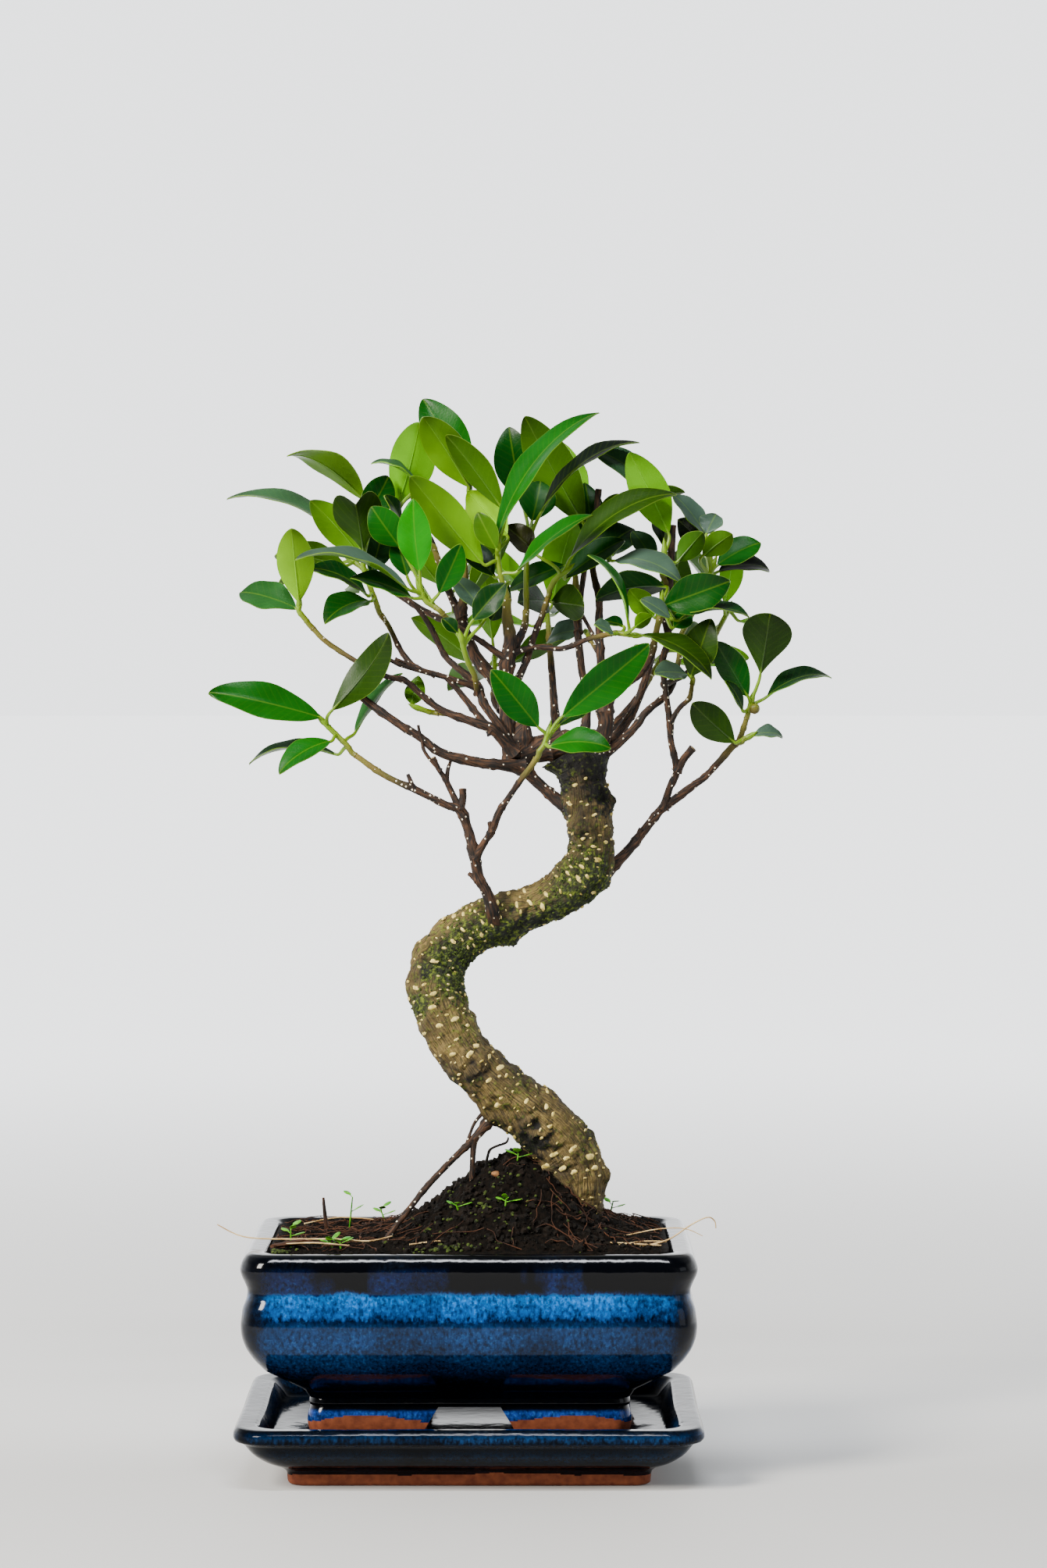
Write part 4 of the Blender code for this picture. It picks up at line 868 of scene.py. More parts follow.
class Form(Enum):
    """How a blade departs from a plain one: arch, hook, notch and the place of its widest part."""

    PLAIN = (0.05, 0.03, 0, 0.5)
    ARCHED = (0.11, 0.05, 0, 0.5)
    NOTCHED = (0.12, 0.02, 0.5, 0.7)
    OBOVATE = (0.05, 0.03, 0, 0.64)


@dataclass
class Leaf:
    """One fig leaf, by the foot and tip of its blade, its width and the way its upper face looks."""

    foot: Point
    tip: Point
    width: float
    azimuth: float = 0             # degrees round to the right from the front
    elevation: float = 0
    tone: Tone = Tone.GREEN
    form: Form = Form.PLAIN
    facing: Vector | None = None

    FOLD = radians(19)
    THICKNESS = 0.55
    STALK = 0.62                   # half the stalk's thickness
    SPANS = 22
    SIDES = 8
    BLUNT_FOOT = 0.86
    BLUNT_TIP = 0.64
    BLUNT_NOTCH = 0.42
    UPPER = (Tone.DEEP, Tone.GREEN, Tone.GREEN, Tone.FRESH)
    LOWER = (Tone.YELLOW, Tone.OLIVE, Tone.LIGHT)

    def aim(self) -> Vector:
        """Work out the way that the upper face looks.

        Returns:
            A way one long.
        """
        if self.facing:
            return self.facing
        turn, rise = radians(self.azimuth), radians(self.elevation)
        level = cos(rise)
        return Vector((sin(turn) * level, -cos(turn) * level, sin(rise)))

    @staticmethod
    def share(place: Vector) -> Pair:
        """Return how far along and across a blade a place of the even grid belongs."""
        return 0.5 - 0.5 * cos(pi * (place.y + 1) / 2), place.x

    def half_width(self, along: float) -> float:
        """Work out half the blade's width at a place along it.

        Args:
            along: share of its length, from its foot.

        Returns:
            Half the width.
        """
        if along >= 1 or along <= 0:
            return 0
        swell = along ** (log(0.5) / log(self.form.value[3]))
        if swell < 0.5:
            bluntness = self.BLUNT_FOOT
        else:
            bluntness = self.BLUNT_NOTCH if self.form is Form.NOTCHED else self.BLUNT_TIP
        return self.width / 2 * sin(pi * swell) ** bluntness

    def spot(self, along: float, across: float, lift: float, draw: Sequence[float]) -> Vector:
        """Return a point of the blade.

        Args:
            along: share of its length, from its foot.
            across: from -1 to 1 over its width.
            lift: from -1 to 1 over its thickness.
            draw: this leaf's own wave, its phase, its bow and its twist.

        Returns:
            The place.
        """
        foot, tip = Vector(self.foot), Vector(self.tip)
        axis = (tip - foot).normalized()
        length = (tip - foot).length
        aim = self.aim()
        upper = (aim - axis * aim.dot(axis)).normalized()
        side = upper.cross(axis)
        bow, hook, notch, _ = self.form.value
        width = self.half_width(along)
        wave, phase, curl, twist = draw
        off = abs(across)
        arch = bow * 4 * along * (1 - along)
        turn = twist * (along - 0.4)
        rise = width * (sqrt(off * off + 0.012) - 0.11) * sin(self.FOLD)
        rise += width * (across * sin(turn) - curl * off ** 3)
        rise += wave * off * off * sin(2 * pi * (2.3 * along + phase + 0.21 * across))
        ahead = along + notch * off * along ** 4 * 2 * width / self.width
        lift_size = self.THICKNESS / 2 * (1 - 0.45 * off ** 6)
        sway = 0.012 * length * sin(pi * along) * sin(6.3 * phase)
        return (foot + axis * length * ahead + side * (across * width * cos(self.FOLD) + sway)
                + upper * (length * (arch - hook * along ** 8) + rise + lift * lift_size))

    def build(self, sheet: Sheet, start: Vector, heading: Vector, draw: random.Random) -> None:
        """Lay the blade, its stalk and the rib under it.

        Args:
            sheet: the spray's mesh.
            start: where the stalk leaves the shoot.
            heading: the way the shoot runs there.
            draw: source of this leaf's small differences.
        """
        own = (draw.uniform(0.1, 0.45) * min(self.width / 14, 1), draw.random(),
               draw.uniform(0, 0.1), draw.uniform(-0.25, 0.25))
        fold_shade = draw.uniform(-0.16, 0.16)
        shape = sheet.shape
        grid = bmesh.ops.create_grid(shape, x_segments=self.SIDES, y_segments=self.SPANS, size=1)
        spots = {vert: self.share(vert.co) for vert in grid["verts"]}
        lower = list({face for vert in spots for face in vert.link_faces})
        grown = bmesh.ops.extrude_face_region(shape, geom=lower)["geom"]
        lifted = {item: self.share(item.co) for item in grown if isinstance(item, bmesh.types.BMVert)}
        front_up = self.aim().y < 0
        seen = Vector(linear(self.tone.value)[:3])
        hidden = Vector(linear(draw.choice(self.LOWER if front_up else self.UPPER).value)[:3])
        upper_tone, lower_tone = (seen, hidden) if front_up else (hidden, seen)
        length = (Vector(self.tip) - Vector(self.foot)).length
        faces = {face for vert in (*spots, *lifted) for face in vert.link_faces}
        for face in faces:
            face.material_index = 0
            raised = sum(vert in lifted for vert in face.verts) >= 3
            tone = upper_tone if raised else lower_tone
            for loop in face.loops:
                along, across = lifted.get(loop.vert) or spots[loop.vert]
                # painted light and shade: each blade is lighter at its foot, darker towards its tip and
                # lighter on one half of its fold than on the other
                glow = 1 + 0.3 * (0.5 - along) + fold_shade * across
                glow *= 1 - 0.3 * smoothstep(0.8, 1, along)
                loop[sheet.tone] = (*(tone * glow), 1)
                loop[sheet.uv].uv = (along * length / 100, across * self.half_width(along) / 100)
        for group, lift in ((spots, -1), (lifted, 1)):
            for vert, (along, across) in group.items():
                vert.co = self.spot(along, across, lift, own)
                vert[sheet.edge] = (1 - abs(across)) * self.half_width(along)
        bmesh.ops.remove_doubles(shape, verts=[*spots, *lifted], dist=0.0002)
        self._stalk(sheet, start, heading, own, lower_tone)

    def _stalk(self, sheet: Sheet, start: Vector, heading: Vector, own: Sequence[float],
               tone: Vector) -> None:
        """Run the stalk from the shoot to the blade and on as the rib under it, in the blade's tone.

        Args:
            sheet: the spray's mesh.
            start: where the stalk leaves the shoot.
            heading: the way the shoot runs there.
            own: this leaf's own differences.
            tone: the colour of the blade's underside.
        """
        foot = self.spot(0, 0, 0, own)
        ahead = (self.spot(0.08, 0, 0, own) - foot).normalized()
        gap = (foot - start).length
        leave = start + (heading * 0.55 + (foot - start).normalized()).normalized() * gap * 0.38
        reach = foot - ahead * gap * 0.3
        line = []
        for t in (step / 8 for step in range(9)):
            place = ((1 - t) ** 3 * start + 3 * (1 - t) ** 2 * t * leave
                     + 3 * (1 - t) * t * t * reach + t ** 3 * foot)
            line.append((*place, self.STALK * (1.18 - 0.3 * t)))
        for step in range(1, 13):
            along = 0.93 * step / 12
            under = self.spot(along, 0, -1, own)
            line.append((*under, 0.05 + (self.STALK * 0.62 - 0.05) * (1 - along) ** 1.2))
        blade = Vector(self.tip) - foot
        for vert in sheet.stem(line, 7, material=1, ages=(0, 1)):
            run, vert[sheet.age] = vert[sheet.age], 0          # the stalk is young all along
            along = (vert.co - foot).dot(blade) / blade.length ** 2
            share = smoothstep(-0.02, 0.16, along) if run > 0.2 else 0
            for loop in vert.link_loops:
                loop[sheet.tone] = (*(tone * 1.25), share)


@dataclass
class Spray:
    """A green shoot on a brown limb, with its leaves and a pointed bud."""

    name: str
    limb: str
    shoot: Sequence[Point]
    leaves: Sequence[Leaf]

    GAP = 0.3                      # between the limb's end and the shoot
    SHOOT = 1                      # radius
    NODE_SPACING = 1.1
    NODE_RISE = 0.16
    FIRST_NODE = 0.6
    BUD = 5.5                      # length, and below its shape in shares of length and radius
    BUD_SHAPE = ((0.12, 1.12), (0.35, 1.05), (0.62, 0.7), (0.85, 0.34), (1, 0.08))
    # A young fig beside the far right shoot
    FIG = ((96.2, -3, 256.3, 0.7), (96.4, -3, 257, 1.6), (96.7, -3, 258.1, 1.95),
           (97, -3, 259.2, 1.5), (97.1, -3, 259.8, 0.6))

    def build(self) -> None:
        """Build the spray as one piece that stands for its node."""
        draw = random.Random(self.name)
        end, heading = limb_end(self.limb)
        line = [end - heading * 0.4, end + heading * (self.GAP + 1),
                *[Vector(point) for point in self.shoot]]
        last = (line[-1] - line[-2]).normalized()
        tall = self.BUD * draw.uniform(0.8, 1.15)
        curve = smooth_line([(*point, self.SHOOT * (1 - 0.08 * place / len(line)))
                             for place, point in enumerate(line)], 6)
        lean = Vector((draw.uniform(-0.12, 0.12), draw.uniform(-0.12, 0.12), 0.1))
        for share, size in self.BUD_SHAPE:
            place = line[-1] + (last + lean * share).normalized() * tall * share
            curve.append((*place, self.SHOOT * size))
        sheet = Sheet()
        sheet.stem(curve, 10, material=1, ages=(0.75, -0.35),
                   swell=lambda place, out, ring: self.NODE_RISE * max(0, cos(ring.run * 1.9)) ** 12)
        for leaf, (start, ahead) in zip(self.leaves, self.stalk_starts(line[1:])):
            leaf.build(sheet, start, ahead, draw)
        if self.name == "far_right":
            sheet.stem(smooth_line(self.FIG, 3), 12, material=1, ages=(0.9, 0.6))
        sheet.finish("leaves_" + self.name, (BLADE, SHOOT), "leaf", ["spray_" + self.name])

    def stalk_starts(self, line: Sequence[Vector]) -> list[tuple[Vector, Vector]]:
        """Space the stalks along the shoot, each near its blade's foot.

        Args:
            line: the shoot's middle line.

        Returns:
            For each leaf, where its stalk starts and the way the shoot runs there.
        """
        taken: list[float] = []
        for leaf in self.leaves:
            distance = nearest_on_line(line, Vector(leaf.foot))
            while any(abs(distance - other) < self.NODE_SPACING * 0.9 for other in taken):
                distance -= self.NODE_SPACING
            taken.append(distance)
        lift = max(0, self.FIRST_NODE - min(taken))
        return [point_on_line(line, distance + lift) for distance in taken]


def nearest_on_line(line: Sequence[Vector], place: Vector) -> float:
    """Find where a run of straight pieces passes nearest to a place.

    Args:
        line: the corners of the run.
        place: the place.

    Returns:
        The distance along the run.
    """
    best, best_gap, passed = 0, (line[0] - place).length, 0
    for start, end in zip(line, line[1:]):
        run = end - start
        share = min(max((place - start).dot(run) / run.length_squared, 0), 1)
        gap = (start + run * share - place).length
        if gap < best_gap:
            best, best_gap = passed + share * run.length, gap
        passed += run.length
    return best


def point_on_line(line: Sequence[Vector], distance: float) -> tuple[Vector, Vector]:
    """Find a point on a run of straight pieces.

    Args:
        line: the corners of the run.
        distance: how far along it the point lies.

    Returns:
        The point, and the way the run heads there.
    """
    ahead = (line[-1] - line[-2]).normalized()
    for start, end in zip(line, line[1:]):
        run = (end - start).length
        if distance <= run:
            return start.lerp(end, max(distance / run, 0)), (end - start).normalized()
        distance -= run
    return line[-1].copy(), ahead


def limb_end(name: str) -> tuple[Vector, Vector]:
    """Return where a limb ends and which way it points there."""
    end = Vector(LIMBS[name][-1][:3])
    return end, (end - Vector(LIMBS[name][-2][:3])).normalized()


@dataclass
class BackSprays:
    """Sprays at the back, whose leaves stand round their shoot a fixed turn apart."""

    places: Sequence[tuple[str, float, float, float]] = (  # limb, shoot, first turn, least blade
        ("back_a", 15, 270, 26), ("back_b", 12, 290, 22), ("back_c", 9, 100, 26),
        ("back_d", 12, 250, 20), ("back_e", 15, 70, 20), ("back_f", 9, 30, 20),
        ("back_g", 15, 260, 20))
    leaf_count: int = 4
    stalk: float = 7
    spread: float = 10             # how much longer than the least a blade may be
    width: float = 0.42            # of the blade's length
    turn: float = 137.5

    def sprays(self) -> list[Spray]:
        """Return the sprays."""
        return [self._spray(*settings) for settings in self.places]

    def _spray(self, limb: str, length: float, first_turn: float, least: float) -> Spray:
        """Place the leaves of one spray round its shoot.

        Args:
            limb: the limb that carries it.
            length: the shoot's.
            first_turn: the first leaf's, in degrees round the shoot.
            least: the shortest blade's length.

        Returns:
            The spray.
        """
        end, heading = limb_end(limb)
        shoot = [end + heading * (Spray.GAP + length * share) for share in (0.5, 1)]
        sideways = heading.orthogonal().normalized()
        draw = random.Random(limb)
        tint = random.Random(limb + "tone")
        leaves = []
        for index in range(self.leaf_count):
            turn = radians(first_turn + self.turn * index)
            out = sideways * cos(turn) + heading.cross(sideways) * sin(turn)
            way = (out * 0.85 + heading * (0.35 + 0.12 * index)).normalized()
            share = 0.3 + 0.7 * index / (self.leaf_count - 1)
            foot = end + heading * (Spray.GAP + length * share) + way * self.stalk
            blade = least + draw.uniform(0, self.spread)
            facing = heading - out * 0.3
            tone = tint.choice(Leaf.UPPER if facing.y < 0 else Leaf.LOWER)
            leaves.append(Leaf(foot, foot + way * blade, blade * self.width, tone=tone, facing=facing))
        return Spray(limb, limb, shoot, leaves)


@dataclass(frozen=True)
class Patch:
    """A patch of moss, painted shade or swelling on the trunk: its middle, its reach and its strength.
    """

    middle: Point
    reach: float
    strength: float

    def at(self, place: Vector) -> float:
        """Return the strength at a place."""
        return self.strength * exp(-((place - Vector(self.middle)).length / self.reach) ** 2)


@dataclass(frozen=True)
class Knot:
    """A scar where a branch once grew: a raised ring of bark round a hollow, with shade painted in the
    hollow and round the foot of the ring.
    """

    middle: Point
    size: float
    height: float

    def _off(self, place: Vector) -> float:
        """Return how far a place is from the middle in ring sizes, wavering for an uneven ring."""
        waver = 1 + 0.45 * noise.noise(place * 0.4) + 0.2 * noise.noise(place * 1.1)
        return (place - Vector(self.middle)).length / self.size * waver

    def push(self, place: Vector) -> float:
        """Return how far it lifts the bark at a place."""
        off = self._off(place)
        return self.height * (exp(-((off - 1) / 0.36) ** 2) - 0.6 * exp(-(off / 0.5) ** 2))

    def dark(self, place: Vector) -> float:
        """Return how much painted shade it puts at a place, in its hollow and round the foot of its
        ring.
        """
        off = self._off(place)
        return 0.7 * exp(-(off / 0.55) ** 2) + 0.45 * exp(-((off - 1.6) / 0.25) ** 2)


@dataclass
class Trunk:
    """The trunk's stem: uneven bark with burls, corky pores that lie across it, and moss."""

    relief: float = 0.5
    sides: int = 96
    steps: int = 16
    pore_count: int = 620
    moss_count: int = 900
    ground: float = 84             # height above which pores and moss grow
    moss: Sequence[Patch] = (
        Patch((38, -8, 203), 11, 0.55), Patch((44, -6, 196), 8, 0.45), Patch((3, -7, 180), 10, 0.6),
        Patch((-4, -7, 166), 9, 0.6), Patch((-17, -6, 157), 4.5, 0.75), Patch((-8, -6, 174), 8, 0.4),
        Patch((28, -8, 190), 9, 0.45),
        Patch((5, 8, 178), 14, 0.5), Patch((34, 9, 230), 12, 0.4), Patch((-10, 9, 160), 12, 0.5),
        Patch((42, -7, 112), 8, 0.3), Patch((15, -8, 128), 7, 0.3), Patch((-2, -8, 148), 6, 0.35))
    # patches of painted shade under the bends and in the crotches
    painted_shade: Sequence[Patch] = (
        Patch((8, -5, 175), 6, 0.7), Patch((15, -6, 179), 6, 0.9), Patch((23, -6, 183), 6, 0.8),
        Patch((31, -6, 187), 6, 0.8), Patch((39, -5, 192), 5, 0.6), Patch((44, -9, 231), 4, 0.8),
        Patch((46, -7, 226), 4, 0.6), Patch((-15, -8, 168), 3, 0.8), Patch((31, -3, 247), 9, 0.75),
        Patch((45, -3, 243), 7, 0.9), Patch((20, -4, 240), 7, 0.7), Patch((27, -6, 232), 5, 0.5),
        Patch((37, -6, 243), 7, 0.5), Patch((31, -3, 233), 5, 0.9), Patch((32, -3, 223), 4, 0.8),
        Patch((33, -2, 214), 4, 0.6), Patch((24, -8, 107), 7, 0.4), Patch((20, -7, 114), 5, 0.35),
        Patch((-20, 0, 170), 4, 0.4), Patch((-1, 0, 130), 6, 0.5), Patch((0, 4, 168), 6, 0.8),
        Patch((30, -7, 96), 5, 0.4), Patch((3, -8, 160), 5, 0.7), Patch((5, -8, 132), 4, 0.5),
        Patch((-3, -7, 172), 6, 0.6), Patch((12, -8, 181), 6, 0.5), Patch((22, -8, 110), 6, 0.25),
        Patch((36, -6, 248), 8, 0.9), Patch((46, -6, 236), 5, 0.6))
    knots: Sequence[Knot] = (
        Knot((45.5, -7, 228), 3.4, 1.2), Knot((38.9, -9, 214.6), 3, 0.9),
        Knot((1, -12, 138), 3.2, 1), Knot((-15, -8, 177.4), 3.4, 1.1),
        Knot((22.5, -10.5, 116.8), 3.6, 1), Knot((14, -6, 190), 3, 0.8),
        Knot((-12, 8, 160), 3.4, 1), Knot((38, 8, 214), 3.4, 1), Knot((30, 9, 112), 3.6, 1))
    buttress: Patch = Patch((25, -4, 98), 7, 3.4)
    line: list[Point] = field(init=False)
    rings: list[Ring] = field(init=False)
    collars: list[Patch] = field(init=False)

    def __post_init__(self) -> None:
        """Keep the smooth centre line and set the knots and the limbs' collars on the bark."""
        self.line = smooth_line(TRUNK, self.steps)
        self.rings = [ring for ring in rings_along(self.line) if ring.centre.z > self.ground]
        self.knots = [Knot(self._on_bark(knot.middle), knot.size, knot.height) for knot in self.knots]
        self.collars = []
        for points in LIMBS.values():
            foot = self._on_bark(points[0])
            if (Vector(foot) - Vector(points[0][:3])).length < Limbs.reach:
                self.collars.append(Patch(foot, 1.4 * points[0][3] + 1.4, 1.2))

    def _on_bark(self, place: Point) -> Point:
        """Move a place to the nearest one on the plain stem.

        Args:
            place: the place.

        Returns:
            The place on the stem.
        """
        at = Vector(place[:3])
        *centre, radius = min(self.line, key=lambda point: (Vector(point[:3]) - at).length)
        return tuple(Vector(centre) + (at - Vector(centre)).normalized() * radius)

    def swell(self, place: Vector, out: Vector, ring: Ring) -> float:
        """Work out how far the bark stands out of the plain stem.

        Args:
            place: a place on the plain stem.
            out: the way out of the stem there.
            ring: the stem's ring there.

        Returns:
            The distance.
        """
        push = self.relief * noise.noise(place * 0.13)
        for burl, reach, height in BURLS:
            push += 1.2 * height * exp(-((place - Vector(burl)).length / reach) ** 2)
        push += sum(knot.push(place) for knot in self.knots)
        push += sum(collar.at(place) for collar in (*self.collars, self.buttress))
        push += 0.9 * noise.noise(place * 0.3 + Vector((7, 0, 0)))
        push += 0.36 * noise.noise(place * 0.8)
        push += 0.16 * noise.noise(place * 1.9)
        turn = atan2(out.dot(ring.up), out.dot(ring.side))
        round_it = 0.75 * ring.radius
        along = Vector((cos(turn) * round_it, sin(turn) * round_it, ring.run * 0.1))
        push += 0.28 * noise.noise(along)
        crease = abs(noise.noise(Vector((ring.run * 0.42, turn * 0.7, 3))))
        push -= 0.3 * exp(-(crease / 0.07) ** 2)
        return push * smoothstep(80, 90, place.z) if place.z < 90 else push

    def build(self) -> None:
        """Build the stem with its pores, and the moss on it."""
        sheet = Sheet()
        verts = sheet.stem(self.line, self.sides, swell=self.swell)
        bmesh.ops.recalc_face_normals(sheet.shape, faces=sheet.shape.faces)
        sheet.shape.normal_update()
        for vert in verts:
            # painted shade: bark that faces down, the more so where it also faces right, is darkened as
            # shade, and gets a little more moss
            under = smoothstep(0.15, 0.9, -vert.normal.z + 0.25 * vert.normal.x)
            vert[sheet.moss] = min(1, sum(patch.at(vert.co) for patch in self.moss) + 0.05 + 0.2 * under)
            vert[sheet.shade] = min(1, sum(patch.at(vert.co) for patch in self.painted_shade) + 0.7 * under
                                    + sum(knot.dark(vert.co) for knot in self.knots))
        sheet.finish("trunk_stem", (TRUNK_BARK,), "bark", ["trunk"])
        self._pores()
        self._moss_pads()

    def _skin(self, ring: Ring, turn: float) -> tuple[Vector, Vector]:
        """Find a place on the bark.

        Args:
            ring: a ring of the stem.
            turn: angle round it.

        Returns:
            The place, and the way out of the bark.
        """
        out = ring.outward(turn)
        place = ring.centre + out * ring.radius
        return place + out * self.swell(place, out, ring), out

    def _pores(self) -> None:
        """Set cream pores in the bark, each longer across the stem than along it."""
        draw = random.Random(41)
        sheet = Sheet()
        taken: list[tuple[Vector, float]] = []
        tries = 0
        while len(taken) < self.pore_count and tries < self.pore_count * 12:
            tries += 1
            ring = draw.choice(self.rings)
            turn = draw.uniform(0, 2 * pi)
            place, out = self._skin(ring, turn)
            low = 1 - smoothstep(90, 140, place.z)
            long = draw.choice((0.5, 0.7, 0.95, 1.2, 1.6)) * (1 + 0.3 * low)
            # no pores where shade is painted dark
            hidden = sum(patch.at(place) for patch in self.painted_shade)
            if hidden > 0.45 or any((place - other).length < long + size + 0.35
                                    for other, size in taken):
                continue
            taken.append((place, long))
            across = ring.ahead.cross(out)
            frame_ways = Matrix((across, ring.ahead, across.cross(ring.ahead))).transposed()
            turned = frame_ways.to_quaternion() @ Quaternion((0, 0, 1), draw.uniform(-0.35, 0.35))
            sizes = (long, long * draw.uniform(0.4, 0.62), 0.42)
            sheet.blob(place - out * 0.12, sizes, turned, 0, 2, 0.35)
        sheet.finish("trunk_pores", (CORK,), "bark")

    def _moss_pads(self) -> None:
        """Scatter small moss pads where the patches are strong."""
        draw = random.Random(43)
        sheet = Sheet()
        made = 0
        while made < self.moss_count:
            ring = draw.choice(self.rings)
            place, out = self._skin(ring, draw.uniform(0, 2 * pi))
            if draw.random() > sum(patch.at(place) for patch in self.moss) - 0.12:
                continue
            made += 1
            size = draw.uniform(0.22, 0.55)
            turned = out.to_track_quat("Z", "Y") @ Quaternion((0, 0, 1), draw.uniform(0, 6.3))
            sheet.blob(place, (size * 1.3, size, size * 0.75), turned, 0, 1, 0.6)
        sheet.finish("trunk_moss", (MOSS,), "bark", sharp=180)


@dataclass
class Limbs:
    """The limbs, twigs and prop roots: wrinkled dark bark with white pores and swollen nodes."""

    roots: tuple[str, ...] = ("prop_root", "prop_root_branch", "prop_root_fine")
    cut: tuple[str, ...] = ("lower_left_cut", "right_cut", "cut_bud", "light_cut", "lower_left_twig",
                            "right_up", "left_up", "lowest_left")
    young: float = 42              # length over which a limb's end turns from brown to tan
    slim: float = 0.88             # share of its table radius that a limb keeps between its nodes
    reach: float = 12.5            # distance from the trunk's middle within which a limb grows from it

    FINE = {
        "lower_left_stub": [(2.5, -10, 200, 1.2), (1, -9.5, 201, 1), (-0.5, -9, 202.2, 0.8)],
        "lower_left_spur": [(-8, -12, 233.2, 0.9), (-7.5, -11, 237.5, 0.8), (-6.5, -10, 240.5, 0.6)],
        "lower_left_bud": [(-19, -14, 231, 1), (-20, -15, 233.5, 0.9), (-21, -15, 236, 0.7)],
        "rising_knob": [(7.5, -15, 217, 1.2), (6.6, -16, 219.8, 0.9)],
        "right_arm_stub": [(56.5, 4, 212.5, 1.3), (58.3, 3, 217, 0.9)],
        "thin_up": [(36.5, 13, 293, 0.9), (40, 11, 287, 0.8), (43.6, 6.5, 280, 0.8)],
        "crossing_stub": [(-18, -4, 272, 0.8), (-22, -5, 273.5, 0.7), (-25.5, -6, 275, 0.7)],
    }

    def build(self) -> None:
        """Build the limbs as one piece."""
        sheet = Sheet()
        for number, (name, points) in enumerate({**LIMBS, **self.FINE}.items()):
            self._limb(sheet, name, points, number)
        sheet.finish("limbs", (LIMB, CUT_WOOD), "bark")

    def _rooted(self, points: list[Point]) -> tuple[list[Point], float]:
        """Start a limb of the trunk's own inside the trunk.

        Args:
            points: the limb's line.

        Returns:
            The longer line, and how much of it is hidden.
        """
        centres = [Vector(point[:3]) for point in TRUNK]
        foot = Vector(points[0][:3])
        heart, _ = point_on_line(centres, nearest_on_line(centres, foot))
        if (foot - heart).length > self.reach:
            return points, 0
        start = foot.lerp(heart, 0.6)
        return [(*start, points[0][3]), *points], (foot - start).length

    def _limb(self, sheet: Sheet, name: str, points: Sequence[Point], number: int) -> None:
        """Lay one limb with a flared foot, knobs at its nodes and fine wrinkles.

        Args:
            sheet: mesh that takes it.
            name: the limb's.
            points: its line.
            number: its place in the order, for its own wrinkles.
        """
        points, hidden = self._rooted([(*point[:3], point[3] * self.slim) for point in points])
        line = smooth_line(points, 7)
        total = rings_along(line)[-1].run
        ended = [spray.limb for spray in SPRAYS]
        carries = name in ended or name.startswith("back_")
        last_age = 0 if carries and name not in self.roots else 0.8
        first_age = min(1, total / self.young + (0.15 if carries else 0.8))
        spacing = 5.5 + 1.3 * noise.noise(Vector((number * 3.7, 0, 0)))
        shift = Vector((number * 11, 0, 0))

        def swell(place: Vector, out: Vector, ring: Ring) -> float:
            """Work out how far the bark stands out of the plain limb.

            Args:
                place: a place on the plain limb.
                out: the way out of the limb there.
                ring: the limb's ring there.

            Returns:
                The distance.
            """
            flare = 0.4 * ring.radius * exp(-max(ring.run - hidden, 0) / (1.6 * ring.radius))
            node = 0.2 * ring.radius * max(0, cos(pi * ring.run / spacing)) ** 10
            rough = 0.13 * ring.radius * noise.noise(place * (1.1 / max(ring.radius, 0.8)) + shift)
            return flare + node + rough + 0.08 * noise.noise(place * 1.9)

        sides = 16 if points[0][3] > 2.4 else 10
        sheet.stem(line, sides, ages=(first_age, last_age), swell=swell)
        if name in self.cut:
            tip, before = Vector(line[-1][:3]), Vector(line[-2][:3])
            way = (tip - before).normalized()
            face = [(*(tip - way * 0.3), line[-1][3] * 0.8), (*(tip + way * 0.12), line[-1][3] * 0.7)]
            sheet.stem(face, 10, material=1)


